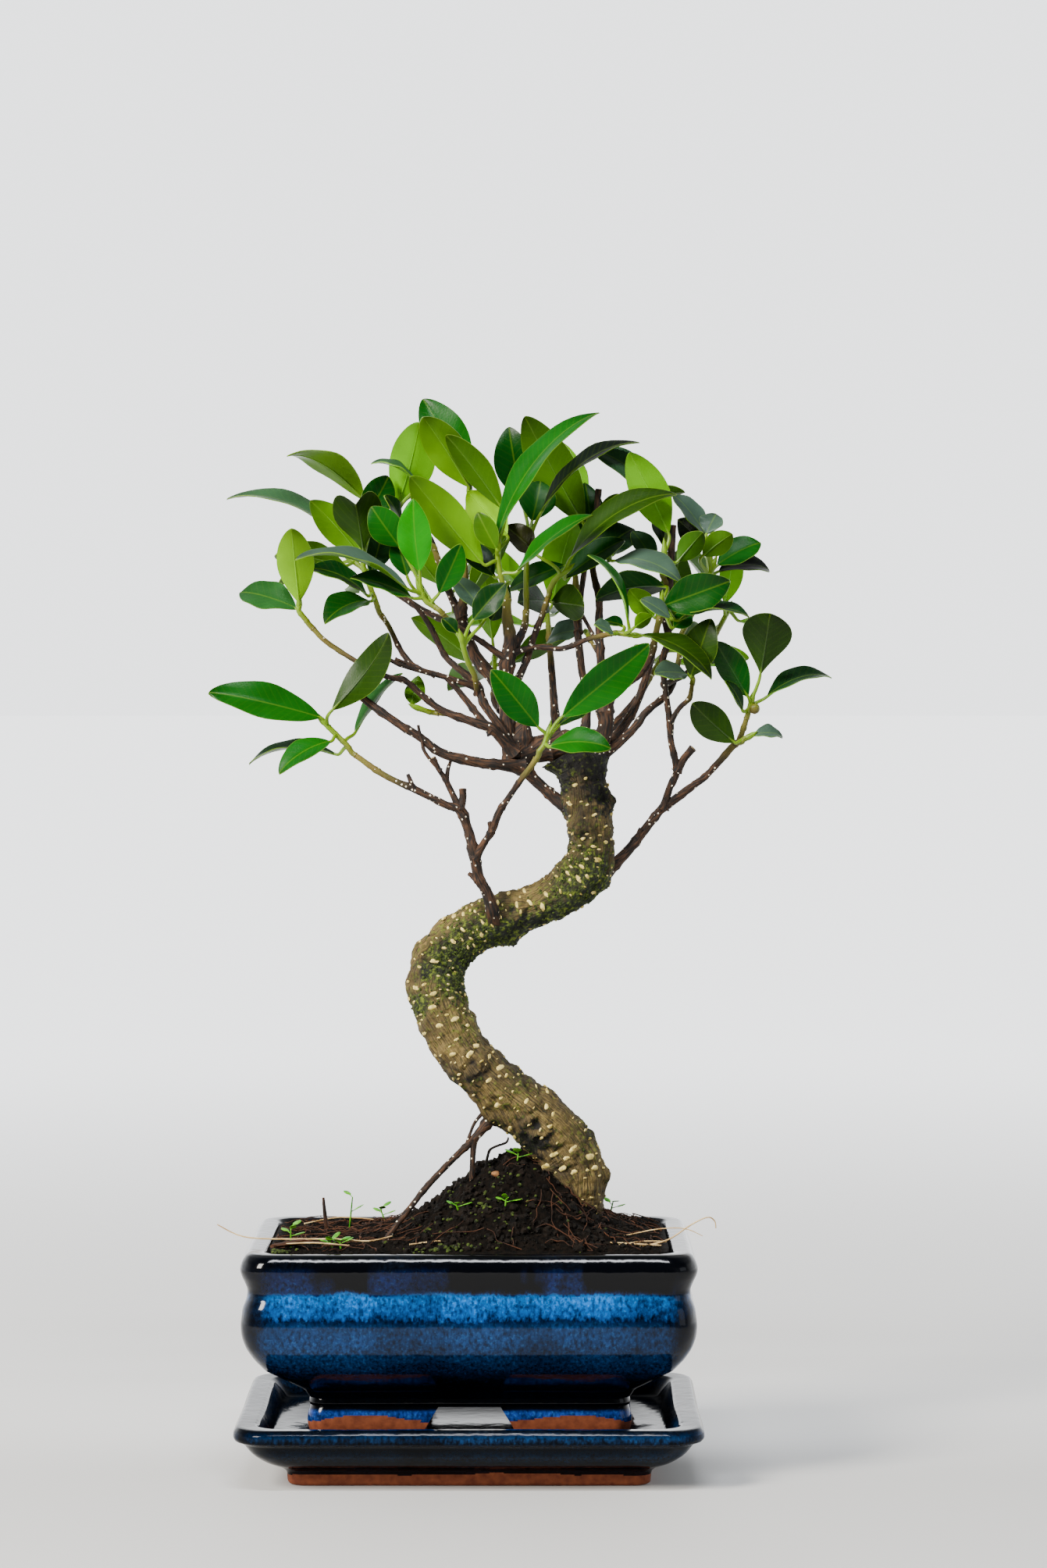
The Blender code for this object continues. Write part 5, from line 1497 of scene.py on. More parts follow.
SPRAYS = [
    Spray("left_a", "lower_mid", [(-56, -8, 288.5), (-58, -8, 291), (-58, -8, 292.5)], [
        Leaf((-58, -9, 294), (-60, -18, 319), 13.5, 178, 5, Tone.BRIGHT),
        Leaf((-59, -6, 292), (-79, 4, 298), 14, -20, 48, Tone.SHEEN),
    ]),
    Spray("left_b", "crossing_left", [(-32.5, 1, 295), (-35, 1, 301.5), (-36.5, 1, 306.5),
                                      (-36.5, 1, 310)], [
        Leaf((-36.2, -3, 310), (-38.8, -8, 327.4), 18, 178, 5, Tone.DUSK, Form.NOTCHED),
        Leaf((-37.5, 1, 310.5), (-54.5, 1, 329), 12, 176, 5, Tone.YELLOW),
        Leaf((-42, 10, 315), (-83.5, 16, 332), 16, -5, 76, Tone.GREY_SHEEN, Form.ARCHED),
        Leaf((-37, 22, 330), (-62, -2, 345.5), 15, 178, 66, Tone.BRIGHT, Form.ARCHED),
        Leaf((-36.5, 1, 322.5), (-28, 5, 337.5), 12, 30, 25, Tone.DEEP),
        Leaf((-35, -3, 296.5), (-56, -6, 306), 12, 0, 60, Tone.DARK, Form.ARCHED),
        Leaf((-34, -4, 294.5), (-49, -15, 287.5), 15, -25, 40, Tone.DEEP, Form.ARCHED),
        Leaf((-34.5, 10, 304), (-30.5, 24, 321.5), 11, 12, 5, Tone.DARK),
    ]),
    Spray("left_c", "brown_left", [(-12, -11, 292.5), (-15, -11, 294.5), (-16.5, -11, 297.5)], [
        Leaf((-17, -13, 304.5), (-19, -20, 328.5), 12.5, -8, 8, Tone.VIVID),
        Leaf((-21, -15, 298.5), (-57.5, -26, 310), 15, 0, 72, Tone.PALE_SHEEN, Form.ARCHED),
        Leaf((-19.5, -13, 295.5), (-40, -18, 302.5), 12, 0, 55, Tone.DEEP),
        Leaf((-10.5, -13, 297), (-3, -16, 313.5), 10, 20, 8, Tone.GREEN),
        Leaf((-21.5, -5, 303), (-25, -2, 316), 9, 5, 8, Tone.DEEP),
        Leaf((-24, -6, 313), (-33.5, -8, 326.5), 12, -15, 25, Tone.GREEN),
    ]),
    Spray("top_left", "dark_limb_left", [(-18.5, 11, 316.5), (-23.5, 10, 321), (-25.5, 10, 325.5)], [
        Leaf((-25, 9, 327.5), (-17, -4, 355.5), 17, 172, 0, Tone.LIGHT),
        Leaf((-19, -4, 336), (-33.5, -3, 342), 9, 0, 80, Tone.GREY_SHEEN, Form.ARCHED),
        Leaf((-24, 2, 322), (-29, -4, 330.5), 7, 20, 40, Tone.DARK),
    ]),
    Spray("top", "dark_limb", [(-1.5, 6, 316), (-1, 5, 325.5), (-0.5, 4, 331.5)], [
        Leaf((-0.5, 2, 333.5), (-16, -10, 357), 14, 178, 8, Tone.LIME),
        Leaf((-0.5, 8, 336.5), (-16.5, 13, 364.5), 16, 15, -8, Tone.GREEN),
    ]),
    Spray("crown_a", "left_up", [(11, -6, 300.5), (9.5, -6, 308), (9.5, -6, 313.5)], [
        Leaf((4.5, -9, 307), (-20, -18, 336.5), 15, 177, 8, Tone.LIME),
        Leaf((9, -8, 315.5), (42, -10, 359.5), 15, -50, 28, Tone.GREEN, Form.ARCHED),
        Leaf((16, -8, 304.5), (41, -14, 324), 12, -35, 55, Tone.GREEN),
        Leaf((8, -3, 303), (-4, 1, 314.5), 11, 20, 30, Tone.DARK),
        Leaf((11, -4, 326), (-8, -8, 351), 11, 178, 35, Tone.HERB),
        Leaf((12.5, 0, 317), (-1, 0, 332), 13, 178, 0, Tone.BACKLIT_GLOW),
        Leaf((9, -11, 312), (2.5, -11, 324.5), 8.5, -15, 10, Tone.HERB),
        Leaf((13, 2, 300.5), (7, 8, 288), 8, 20, 30, Tone.DARK),
    ]),
    Spray("crown_b", "left_up_fork", [(19, 9, 303), (19.5, 11, 312.5), (20.5, 12, 317)], [
        Leaf((24, 11, 325), (56.5, 6, 350.5), 13, -10, 68, Tone.SHADED_BLACK, Form.ARCHED),
        Leaf((21, 15, 322.5), (24, 19, 336.5), 14, 0, -5, Tone.DEEP),
        Leaf((17.5, 28, 330.5), (13, 26, 355.5), 15, -5, 5, Tone.DEEP),
        Leaf((19.5, 42, 331), (24.5, 30, 356), 12, 10, 5, Tone.GREEN),
    ]),
    Spray("crown_c", "brown_rise", [(27, 4, 298.5), (29, 3, 302), (32, 2, 304.5)], [
        Leaf((34, 0, 309), (69, -8, 332), 15, -25, 48, Tone.DUSK, Form.ARCHED),
        Leaf((22, 1, 311), (12, 5, 320.5), 10, 178, 30, Tone.BROWN),
        Leaf((32.5, 6, 302.5), (52.5, 8, 316), 12, 0, 50, Tone.DEEP),
        Leaf((26, 10, 295), (16.5, 24, 295), 14, 180, 20, Tone.DARK),
        Leaf((27.5, 8, 294.5), (39, 0, 293), 14, 178, 20, Tone.DUSK),
        Leaf((32.5, 12, 307), (13, 18, 299), 11, 0, 42, Tone.DEEP),
    ]),
    Spray("crown_d", "upright_a", [(37.5, 15, 309.5), (38.5, 16, 316)], [
        Leaf((39, 20, 321.5), (18.5, 12, 358.5), 17, 176, 8, Tone.HERB),
        Leaf((41.5, 24, 314), (39.5, 29, 336.5), 11, 12, 0, Tone.DEEP),
        Leaf((45.5, 20, 321.5), (51, 18, 332), 8, 178, 0, Tone.YELLOW),
        Leaf((43.5, 18, 310.5), (56.5, 28, 320.5), 13, 0, 30, Tone.DARK),
    ]),
    Spray("green_stem", "green_stem_foot", [(-0.5, -11, 273.5), (-2, -13, 278), (-2.5, -14, 280.5)], [
        Leaf((-4.5, -14, 283.5), (-9.5, -14, 288.5), 6, 20, 30, Tone.DARK),
        Leaf((1, -10, 288), (12, -12, 300.5), 10, 10, 30, Tone.DARK),
        Leaf((4.5, -4, 290.5), (-6, 6, 303), 9, -10, 55, Tone.PALE_SHEEN),
    ]),
    Spray("stub_top", "right_up_spur", [(66, -4, 305.5), (66, -4, 310)], [
        Leaf((67.5, -3, 317.5), (54, -6, 345), 14, 178, 6, Tone.LIGHT),
        Leaf((65.5, 12, 328), (41.5, 12, 347.5), 13, 0, 48, Tone.GREY_SHEEN, Form.ARCHED),
        Leaf((70.5, -3, 308), (79, -7, 318), 9, 178, 8, Tone.OLIVE),
        Leaf((66, 2, 313.5), (63.5, 14, 323.5), 7, 20, 40, Tone.DARK),
        Leaf((63, 8, 307.5), (55.5, 12, 319), 9, -10, 60, Tone.GREY_SHEEN),
    ]),
    Spray("right_back", "black_limb_b", [(75.5, 9, 289.5), (80.5, 8, 300), (82.5, 8, 305.5)], [
        Leaf((80.5, 8, 317), (69.5, 10, 331.5), 10, 0, 62, Tone.PALE_SHEEN),
        Leaf((80.5, 0, 317.5), (84, 4, 324.5), 9, 0, 55, Tone.PALE_SHEEN),
        Leaf((79, 12, 315.5), (71.5, 18, 323), 10, 178, 10, Tone.SHADED_BLACK),
        Leaf((79, -1, 310), (89, -6, 317.5), 9, 178, 10, Tone.HERB),
        Leaf((84.5, 8, 307), (99.5, 10, 315), 12, 10, 45, Tone.GREEN),
        Leaf((85, 12, 305), (103, 16, 306), 13, 0, 60, Tone.SHADED_BLACK, Form.ARCHED),
    ]),
    Spray("right_front", "light_limb", [(65, -8, 292), (65, -9, 293.5)], [
        Leaf((65.5, -12, 293), (87.5, -20, 301), 14.5, 25, 6, Tone.DEEP),
        Leaf((70.5, -11, 288), (94, -18, 290), 12, 0, 74, Tone.DARK, Form.ARCHED),
        Leaf((66.5, -4, 299.5), (43, 4, 296), 14, 178, 42, Tone.DARK, Form.ARCHED),
        Leaf((62.5, -6, 289), (54, -6, 298.5), 9, 178, 12, Tone.YELLOW),
        Leaf((67.5, -17, 288.5), (57.5, -18, 295), 8, 0, 50, Tone.PALE_SHEEN),
        Leaf((69, -9, 285.5), (75, -6, 290), 7, 20, 30, Tone.GREEN),
    ]),
    Spray("bar_end", "brown_bar", [(51.5, -9, 283.5), (55, -10, 283)], [
        Leaf((58, -11, 283), (82, -17, 269), 13, 0, 66, Tone.DUSK, Form.ARCHED),
        Leaf((48.5, -12, 283.5), (42, -16, 286.5), 8, 0, 50, Tone.PALE_SHEEN),
        Leaf((52, -6, 286), (44.5, -2, 287.5), 8, 10, 60, Tone.DARK),
        Leaf((53.5, -11, 287.5), (41, -15, 310.5), 11, 80, 5, Tone.GREEN, Form.ARCHED),
        Leaf((55.5, -14, 285.5), (61.5, -12, 289.5), 6, 178, 30, Tone.YELLOW),
    ]),
    Spray("upright_tip", "upright_spur", [(47.5, 12, 310.5), (47.5, 11, 310)], [
        Leaf((49, 4, 308.5), (71, -14, 302), 13, 5, 50, Tone.PALE_SHEEN, Form.ARCHED),
    ]),
    Spray("thin_back", "back_spur", [(40.5, 13, 283.5), (40, 15, 284)], [
        Leaf((39, 18, 284.5), (26, 24, 281), 12, 5, 45, Tone.PALE_SHEEN, Form.ARCHED),
    ]),
    Spray("twig_right", "right_twig", [(75.5, -4, 268.5)], [
        Leaf((75, -5, 269), (81.5, -10, 288.5), 13, -12, 8, Tone.DUSK),
        Leaf((77.5, 4, 273.5), (85.5, 8, 276), 9, 0, 50, Tone.PALE_SHEEN),
        Leaf((74, -4, 269.5), (62.5, -10, 270), 11, 0, 50, Tone.PALE_SHEEN),
    ]),
    Spray("far_right_low", "far_right_spur", [(93, -4, 247.5), (94, -4, 248)], [
        Leaf((90, -6, 246.5), (75, -12, 260), 12, 172, -8, Tone.DUSK),
        Leaf((96.5, -4, 249), (106.5, -2, 248.5), 8, 0, 55, Tone.PALE_SHEEN, Form.ARCHED),
    ]),
    Spray("far_right", "right_arm", [(94.5, -2, 257), (95, -3, 258), (95.5, -3, 260)], [
        Leaf((98.5, -5, 269), (101.5, -13, 290.5), 18, 178, 5, Tone.DUSK, Form.OBOVATE),
        Leaf((94.5, -5, 262), (83, -9, 281), 11, 165, 5, Tone.DEEP),
        Leaf((101, -1, 262), (123.5, 6, 269.5), 12, 0, 68, Tone.DARK, Form.ARCHED),
        Leaf((92.5, -6, 257.5), (86.5, -10, 267.5), 7, 60, 10, Tone.DARK),
    ]),
    Spray("low_left", "lower_left", [(-41.5, -12, 245.5), (-44, -12, 248), (-47, -12, 251),
                                     (-49, -12, 253)], [
        Leaf((-50.5, -13, 255), (-87.5, -22, 264), 14.5, 4, 30, Tone.GREEN),
        Leaf((-46.5, -18, 257.5), (-26.5, -24, 283.5), 12.5, 150, 10, Tone.DUSK, Form.ARCHED),
        Leaf((-39, -8, 250), (-23.5, -4, 270.5), 10, -62, 15, Tone.SHEEN),
        Leaf((-47, -17, 247), (-64, -26, 237), 11, -10, 48, Tone.GREEN, Form.ARCHED),
        Leaf((-45.5, -8, 242.5), (-75.5, -4, 240.5), 11, 0, 74, Tone.DARK, Form.ARCHED),
    ]),
    Spray("centre", "rising", [(23.5, -27, 244), (25, -27, 246), (26, -27, 249)], [
        Leaf((23, -29, 252), (7.5, -36, 271), 12.5, 6, 0, Tone.GREEN),
        Leaf((31, -29, 255.5), (60, -36, 279.5), 14, 25, 6, Tone.GREEN),
        Leaf((27, -30, 245.5), (47, -36, 245.5), 12, 0, 42, Tone.GREEN, Form.ARCHED),
        Leaf((30, -24, 252.5), (43, -22, 260.5), 8, 0, 50, Tone.DARK),
    ]),
    Spray("small_left", "bud_spur", [(-14, -7, 257), (-17, -8, 258)], [
        Leaf((-20, -8, 259.5), (-17.5, -2, 269), 7.5, 172, 10, Tone.YELLOW),
    ]),
]


def rounded_rectangle(half_x: float, half_y: float, corner: float, share: float) -> Pair:
    """Return a point on a rectangle with round corners.

    Args:
        half_x: half its width.
        half_y: half its depth.
        corner: radius of its corners.
        share: how far round the point lies, from 0 to 1, counterclockwise from above.

    Returns:
        Its x and y.
    """
    straight = (2 * (half_y - corner), 2 * (half_x - corner))
    arc = pi * corner / 2
    centres = ((1, 1), (-1, 1), (-1, -1), (1, -1))
    run = (share % 1) * (4 * arc + 2 * sum(straight))
    for quarter, (way_x, way_y) in enumerate(centres):
        middle_x, middle_y = way_x * (half_x - corner), way_y * (half_y - corner)
        if run <= arc:
            angle = radians(90 * quarter) + run / corner
            return middle_x + corner * cos(angle), middle_y + corner * sin(angle)
        run -= arc
        length = straight[(quarter + 1) % 2]
        if run <= length:
            angle = radians(90 * (quarter + 1))
            along = (-sin(angle), cos(angle))
            return (middle_x + corner * cos(angle) + along[0] * run,
                    middle_y + corner * sin(angle) + along[1] * run)
        run -= length
    return half_x, half_y - corner


@dataclass
class Tray:
    """A vessel whose rounded outline steps in and out along a section of (inset, height)."""

    half: Pair
    corner: float
    least_corner: float
    section: Sequence[Point]
    around: int = 176
    uneven: float = 0.25           # how far the hand-pressed walls wander

    def lay(self, sheet: Sheet) -> list:
        """Lay the vessel's skin from the section's first point to its last, closed at both.

        Args:
            sheet: mesh that takes the skin.

        Returns:
            The new vertices.
        """
        levels = round_corners(self.section)
        rows = len(levels) - 1
        grid = bmesh.ops.create_grid(sheet.shape, x_segments=self.around, y_segments=rows, size=1)
        rim: dict[int, list] = {0: [], rows: []}
        for vert in grid["verts"]:
            share = (vert.co.x + 1) / 2
            row = round((vert.co.y + 1) / 2 * rows)
            inset, height = levels[row]
            corner = max(self.least_corner, self.corner - 0.4 * inset)
            x, y = rounded_rectangle(self.half[0] - inset, self.half[1] - inset, corner, share)
            turn = share * 2 * pi
            loop = Vector((cos(turn), sin(turn), height * 0.012))
            push = self.uneven * noise.noise(loop * 2.2) if 1 < height else 0
            vert.co = (x * (1 + push / self.half[0]), y * (1 + push / self.half[1]),
                       height + (0.5 * push if height > 20 else 0))
            if row in rim:
                rim[row].append(vert)
        bmesh.ops.remove_doubles(sheet.shape, verts=grid["verts"], dist=0.0005)
        for verts in rim.values():
            ring = [vert for vert in verts if vert.is_valid]
            edges = list({edge for vert in ring for edge in vert.link_edges if edge.is_boundary})
            bmesh.ops.contextual_create(sheet.shape, geom=edges)
        return [vert for vert in grid["verts"] if vert.is_valid]


@dataclass
class Saucer:
    """A shallow glazed tray with a flat rim and a foot ring of bare clay."""

    half: Pair = (78, 62)
    corner: float = 12
    section: Sequence[Point] = (
        (27, 8.8), (26.5, 0), (17.5, 0), (17.2, 4.4), (15.5, 6), (10.5, 8), (6, 11.4),
        (3, 15.6), (0.6, 16.4), (0, 17.6), (0.1, 19.2), (0.3, 19.7), (1.2, 20.95), (2.2, 21.15),
        (7.2, 20.9), (8.2, 20.2), (11.6, 14.8), (12.8, 14))
    bare: float = 4                # height of the clay that stays bare
    under: Pair = (52.02, 35.7)    # half size of the bare underside

    def build(self) -> None:
        """Build the saucer and bare its foot."""
        sheet = Sheet()
        Tray(self.half, self.corner, 5, self.section).lay(sheet)
        for face in sheet.shape.faces:
            middle = face.calc_center_median()
            run = self.bare + 1.3 * noise.noise(Vector((middle.x * 0.06, middle.y * 0.06, 1)))
            inside = abs(middle.x) < self.under[0] and abs(middle.y) < self.under[1]
            face.material_index = int(middle.z < run or (middle.z < 9 and inside))
        sheet.finish("glazed_saucer", (SAUCER_GLAZE, BARE_CLAY), "glaze", ["saucer"], 75)


@dataclass
class Pot:
    """A bellied pot with a rolled rim and four broad feet, glazed down to the feet."""

    half: Pair = (76, 55)
    corner: float = 10
    section: Sequence[Point] = (
        (24, 32), (14, 40), (8.7, 52), (8.7, 76.6), (7.6, 77.8), (5.2, 78), (3.2, 77.9),
        (1.9, 77.2), (0.7, 75.4), (0.1, 73.6), (0, 72), (0.5, 70.2), (1.5, 68), (2.4, 65.6),
        (2.1, 63), (0.8, 60), (0, 54), (0.4, 50), (1.8, 46), (4.4, 42), (7.5, 38.6),
        (8.4, 37.8), (14.3, 34), (20.5, 30), (22, 27.4), (23.5, 26))
    foot_half: Pair = (54, 33)
    foot_wall: float = 8.5
    foot_floor: float = 14.3
    gap_top: float = 24.4
    foot_top: float = 28.6
    front_gap: Pair = (32, 21)
    side_gap: Pair = (24, 15)
    bare: float = 21.6             # height of the clay that stays bare in the middle of a foot
    front: float = 27              # how far from the middle a face counts as front or back
    foot_middle: Pair = (34, 20)
    foot_reach: Pair = (20, 13)
    foot_corner: float = 6

    def build(self) -> None:
        """Build the body and the feet as one piece."""
        sheet = Sheet()
        Tray(self.half, self.corner, 6, self.section, 208).lay(sheet)
        self._feet(sheet)
        for face in sheet.shape.faces:
            middle = face.calc_center_median()
            axis = 0 if abs(middle.y) > self.front else 1
            off = abs(abs(middle[axis]) - self.foot_middle[axis]) / self.foot_reach[axis]
            run = self.bare - 2.4 * min(off, 1.2) ** 2
            run += 0.5 * noise.noise(Vector((middle.x * 0.2, middle.y * 0.2, 4)))
            if middle.z < run:
                face.material_index = 1
        sheet.finish("glazed_pot", (POT_GLAZE, BARE_CLAY), "glaze", ["pot"], 60)

    def _feet(self, sheet: Sheet) -> None:
        """Add the ring under the belly and a foot at each corner.

        Args:
            sheet: mesh that takes them.
        """
        low, high = self.gap_top, self.foot_top
        ring = ((8.5, low + 1), (8, low), (0.8, low - 0.2), (0, low + 0.8), (0.2, low + 2.4), (1, high))
        Tray(self.foot_half, self.foot_corner, 4, ring).lay(sheet)
        for way_x in (1, -1):
            for way_y in (1, -1):
                self._foot(sheet, way_x, way_y)

    def _foot_line(self, gap_x: float, gap_y: float) -> list[Vector]:
        """Run a foot's outer line from the gap in front round to the gap at the side.

        Args:
            gap_x: width of the gap in front.
            gap_y: width of the gap at the side.

        Returns:
            The points of the line.
        """
        radius = self.foot_corner
        half_x, half_y = self.foot_half
        front, side = half_x - radius, half_y - radius
        line = [(gap_x / 2 + (front - gap_x / 2) * step / 12, half_y) for step in range(12)]
        for angle in (radians(90 - 90 * step / 8) for step in range(9)):
            line.append((front + radius * cos(angle), side + radius * sin(angle)))
        line += [(half_x, side + (gap_y / 2 - side) * step / 8) for step in range(1, 9)]
        return [Vector(point) for point in line]

    def _foot(self, sheet: Sheet, way_x: int, way_y: int) -> None:
        """Sweep the wall of one foot, whose ends slant.

        Args:
            sheet: mesh that takes it.
            way_x: 1 to the right, -1 to the left.
            way_y: 1 to the back, -1 to the front.
        """
        wide, narrow = (self._foot_line(*gaps) for gaps in zip(self.front_gap, self.side_gap))
        low, high = self.foot_floor + 0.8, self.gap_top
        levels = [(self.foot_floor, 0, 0.9)]
        for share in (step / 20 for step in range(21)):
            levels.append((low + (high - low) * share, share, 0.5 - sin(pi * share)))
        levels.append((high + 0.6, 1, 0.9))
        inner_x, inner_y = (half - self.foot_wall for half in self.foot_half)
        rings = []
        for height, share, inset in levels:
            outer = [start.lerp(end, share) for start, end in zip(wide, narrow)]
            slim_x, slim_y = (1 - inset / half for half in self.foot_half)
            ring = [(point.x * slim_x, point.y * slim_y) for point in outer]
            ring += [(min(point.x, inner_x + 0.1 * inset), min(point.y, inner_y + 0.1 * inset))
                     for point in reversed(outer)]
            rings.append([sheet.shape.verts.new((way_x * x, way_y * y, height)) for x, y in ring])
        hoops = [[sheet.shape.edges.new(ends) for ends in zip(ring, ring[1:] + ring[:1])]
                 for ring in rings]
        for lower, upper in zip(hoops, hoops[1:]):
            bmesh.ops.bridge_loops(sheet.shape, edges=lower + upper)
        for ring in (rings[0], rings[-1]):
            bmesh.ops.contextual_create(sheet.shape, geom=ring)


@dataclass
class Soil:
    """Damp soil that fills the pot and rises in a mound against the trunk."""

    edge: float = 77.4
    peak: Pair = (18, 1)
    height: float = 28.5
    spread: tuple[float, float, float] = (23, 17.6, 21)
    half: Pair = (66.95, 45.95)
    cells: tuple[int, int] = (250, 180)
    walls: Sequence[Point] = ((0, 52), (5.3, 40), (15.3, 32.3))  # (inset, height)
    right_rise: tuple[float, float, float] = (58, 9, 2)  # place, reach, height
    heap_x: float = 14             # where lumps and crumbs are thickest
    crumb_count: int = 3800
    fibre_count: int = 210

    def level(self, x: float, y: float) -> float:
        """Work out the soil's height without its crumbs.

        Args:
            x: place to the right.
            y: place to the back.

        Returns:
            The height.
        """
        rim = max(abs(x) / self.half[0], abs(y) / self.half[1])
        spread = self.spread[0] if x < self.peak[0] else self.spread[1]
        across = exp(-((x - self.peak[0]) / spread) ** 2 / 2)
        along = exp(-((y - self.peak[1]) / self.spread[2]) ** 2 / 2)
        lumps = 0.7 * noise.noise(Vector((x, y, 0)) * 0.21)
        rise_x, reach, tall = self.right_rise
        end_rise = tall * exp(-((x - rise_x) / reach) ** 2)
        return self.edge + (1 - min(rim, 1) ** 8) * (self.height * across * along + end_rise + lumps)

    def crumbly(self, x: float, y: float) -> float:
        """Work out how far lumps and crumbs stand above the level.

        Args:
            x: place to the right.
            y: place to the back.

        Returns:
            The distance.
        """
        at = Vector((x, y, 0))
        rim = max(abs(x) / self.half[0], abs(y) / self.half[1])
        calm = 1 - smoothstep(0.93, 1, rim)
        mound = 1 - smoothstep(14, 45, (at - Vector((self.heap_x, 0, 0))).length)
        lump = (1.2 + 1.6 * mound) * noise.noise(at * 0.17)
        lump += (0.9 + 1.1 * mound) * abs(noise.noise(at * 0.5)) + 0.7 * noise.noise(at * 1.3)
        return calm * (lump - 0.3)

    def build(self) -> None:
        """Build the soil, its crumbs and its root fibres."""
        sheet = Sheet()
        columns, rows = self.cells
        grid = bmesh.ops.create_grid(sheet.shape, x_segments=columns, y_segments=rows, size=1)
        for vert in grid["verts"]:
            u, v = vert.co.x, vert.co.y
            x = self.half[0] * u * (1 - 0.035 * v ** 8)
            y = self.half[1] * v * (1 - 0.05 * u ** 8)
            vert.co = (x, y, self.level(x, y) + self.crumbly(x, y))
        rim = [edge for edge in sheet.shape.edges if edge.is_boundary]
        previous = 0
        for inset, height in self.walls:
            share_x = (self.half[0] - inset) / (self.half[0] - previous)
            share_y = (self.half[1] - inset) / (self.half[1] - previous)
            grown = bmesh.ops.extrude_edge_only(sheet.shape, edges=rim)["geom"]
            rim = [item for item in grown if isinstance(item, bmesh.types.BMEdge) and item.is_boundary]
            for vert in {vert for edge in rim for vert in edge.verts}:
                vert.co = (vert.co.x * share_x, vert.co.y * share_y, height)
            previous = inset
        bmesh.ops.contextual_create(sheet.shape, geom=rim)
        sheet.finish("damp_soil", (SOIL_TOP,), "soil", ["soil"], 180)
        self._crumbs()
        self._fibres()

    def _spot(self, draw: random.Random, inset: float = 2) -> Vector:
        """Pick a place on the soil.

        Args:
            draw: source of the choice.
            inset: least distance from the edge.

        Returns:
            The place.
        """
        x, y = (draw.uniform(inset - half, half - inset) for half in self.half)
        return Vector((x, y, self.level(x, y) + max(self.crumbly(x, y), 0)))

    def _crumbs(self) -> None:
        """Scatter loose crumbs."""
        draw = random.Random(51)
        sheet = Sheet()
        for _ in range(self.crumb_count):
            place = self._spot(draw, 3)
            heaped = 1 - smoothstep(20, 50, abs(place.x - self.heap_x))
            size = 0.3 + (0.7 + 0.8 * heaped) * draw.random() ** 2.5
            if draw.random() > 0.35 + 0.65 * heaped:
                continue
            turn = Quaternion((draw.random(), draw.random(), draw.random(), draw.random())).normalized()
            sheet.blob(place, (size, size * draw.uniform(0.6, 0.9), size * 0.7), turn, 0,
                       2 if size > 0.9 else 1, 0.7)
        sheet.finish("soil_crumbs", (CRUMB,), "soil", sharp=40)

    def _fibres(self) -> None:
        """Strew fine roots and fibres, most of them at the two ends."""
        draw = random.Random(52)
        sheet = Sheet()
        for number in range(self.fibre_count):
            if number % 12:
                x = draw.choice((-1, 1)) * draw.uniform(26, 62)
            else:
                x = draw.uniform(-30, 40)
            y = draw.uniform(-41, 41)
            heading = draw.uniform(0, 2 * pi)
            length = draw.uniform(6, 20)
            points = []
            for step in range(6):
                height = self.level(x, y) + 0.5 + draw.uniform(0.1, 1.3)
                points.append((x, y, height, draw.uniform(0.1, 0.2)))
                heading += draw.uniform(-0.6, 0.6)
                x += cos(heading) * length / 5
                y += sin(heading) * length / 5
                x, y = (min(max(at, 1.5 - half), half - 1.5) for at, half in zip((x, y), self.half))
            sheet.stem(smooth_line(points, 3), 4)
        sheet.finish("soil_fibres", (FIBRE,), "soil")


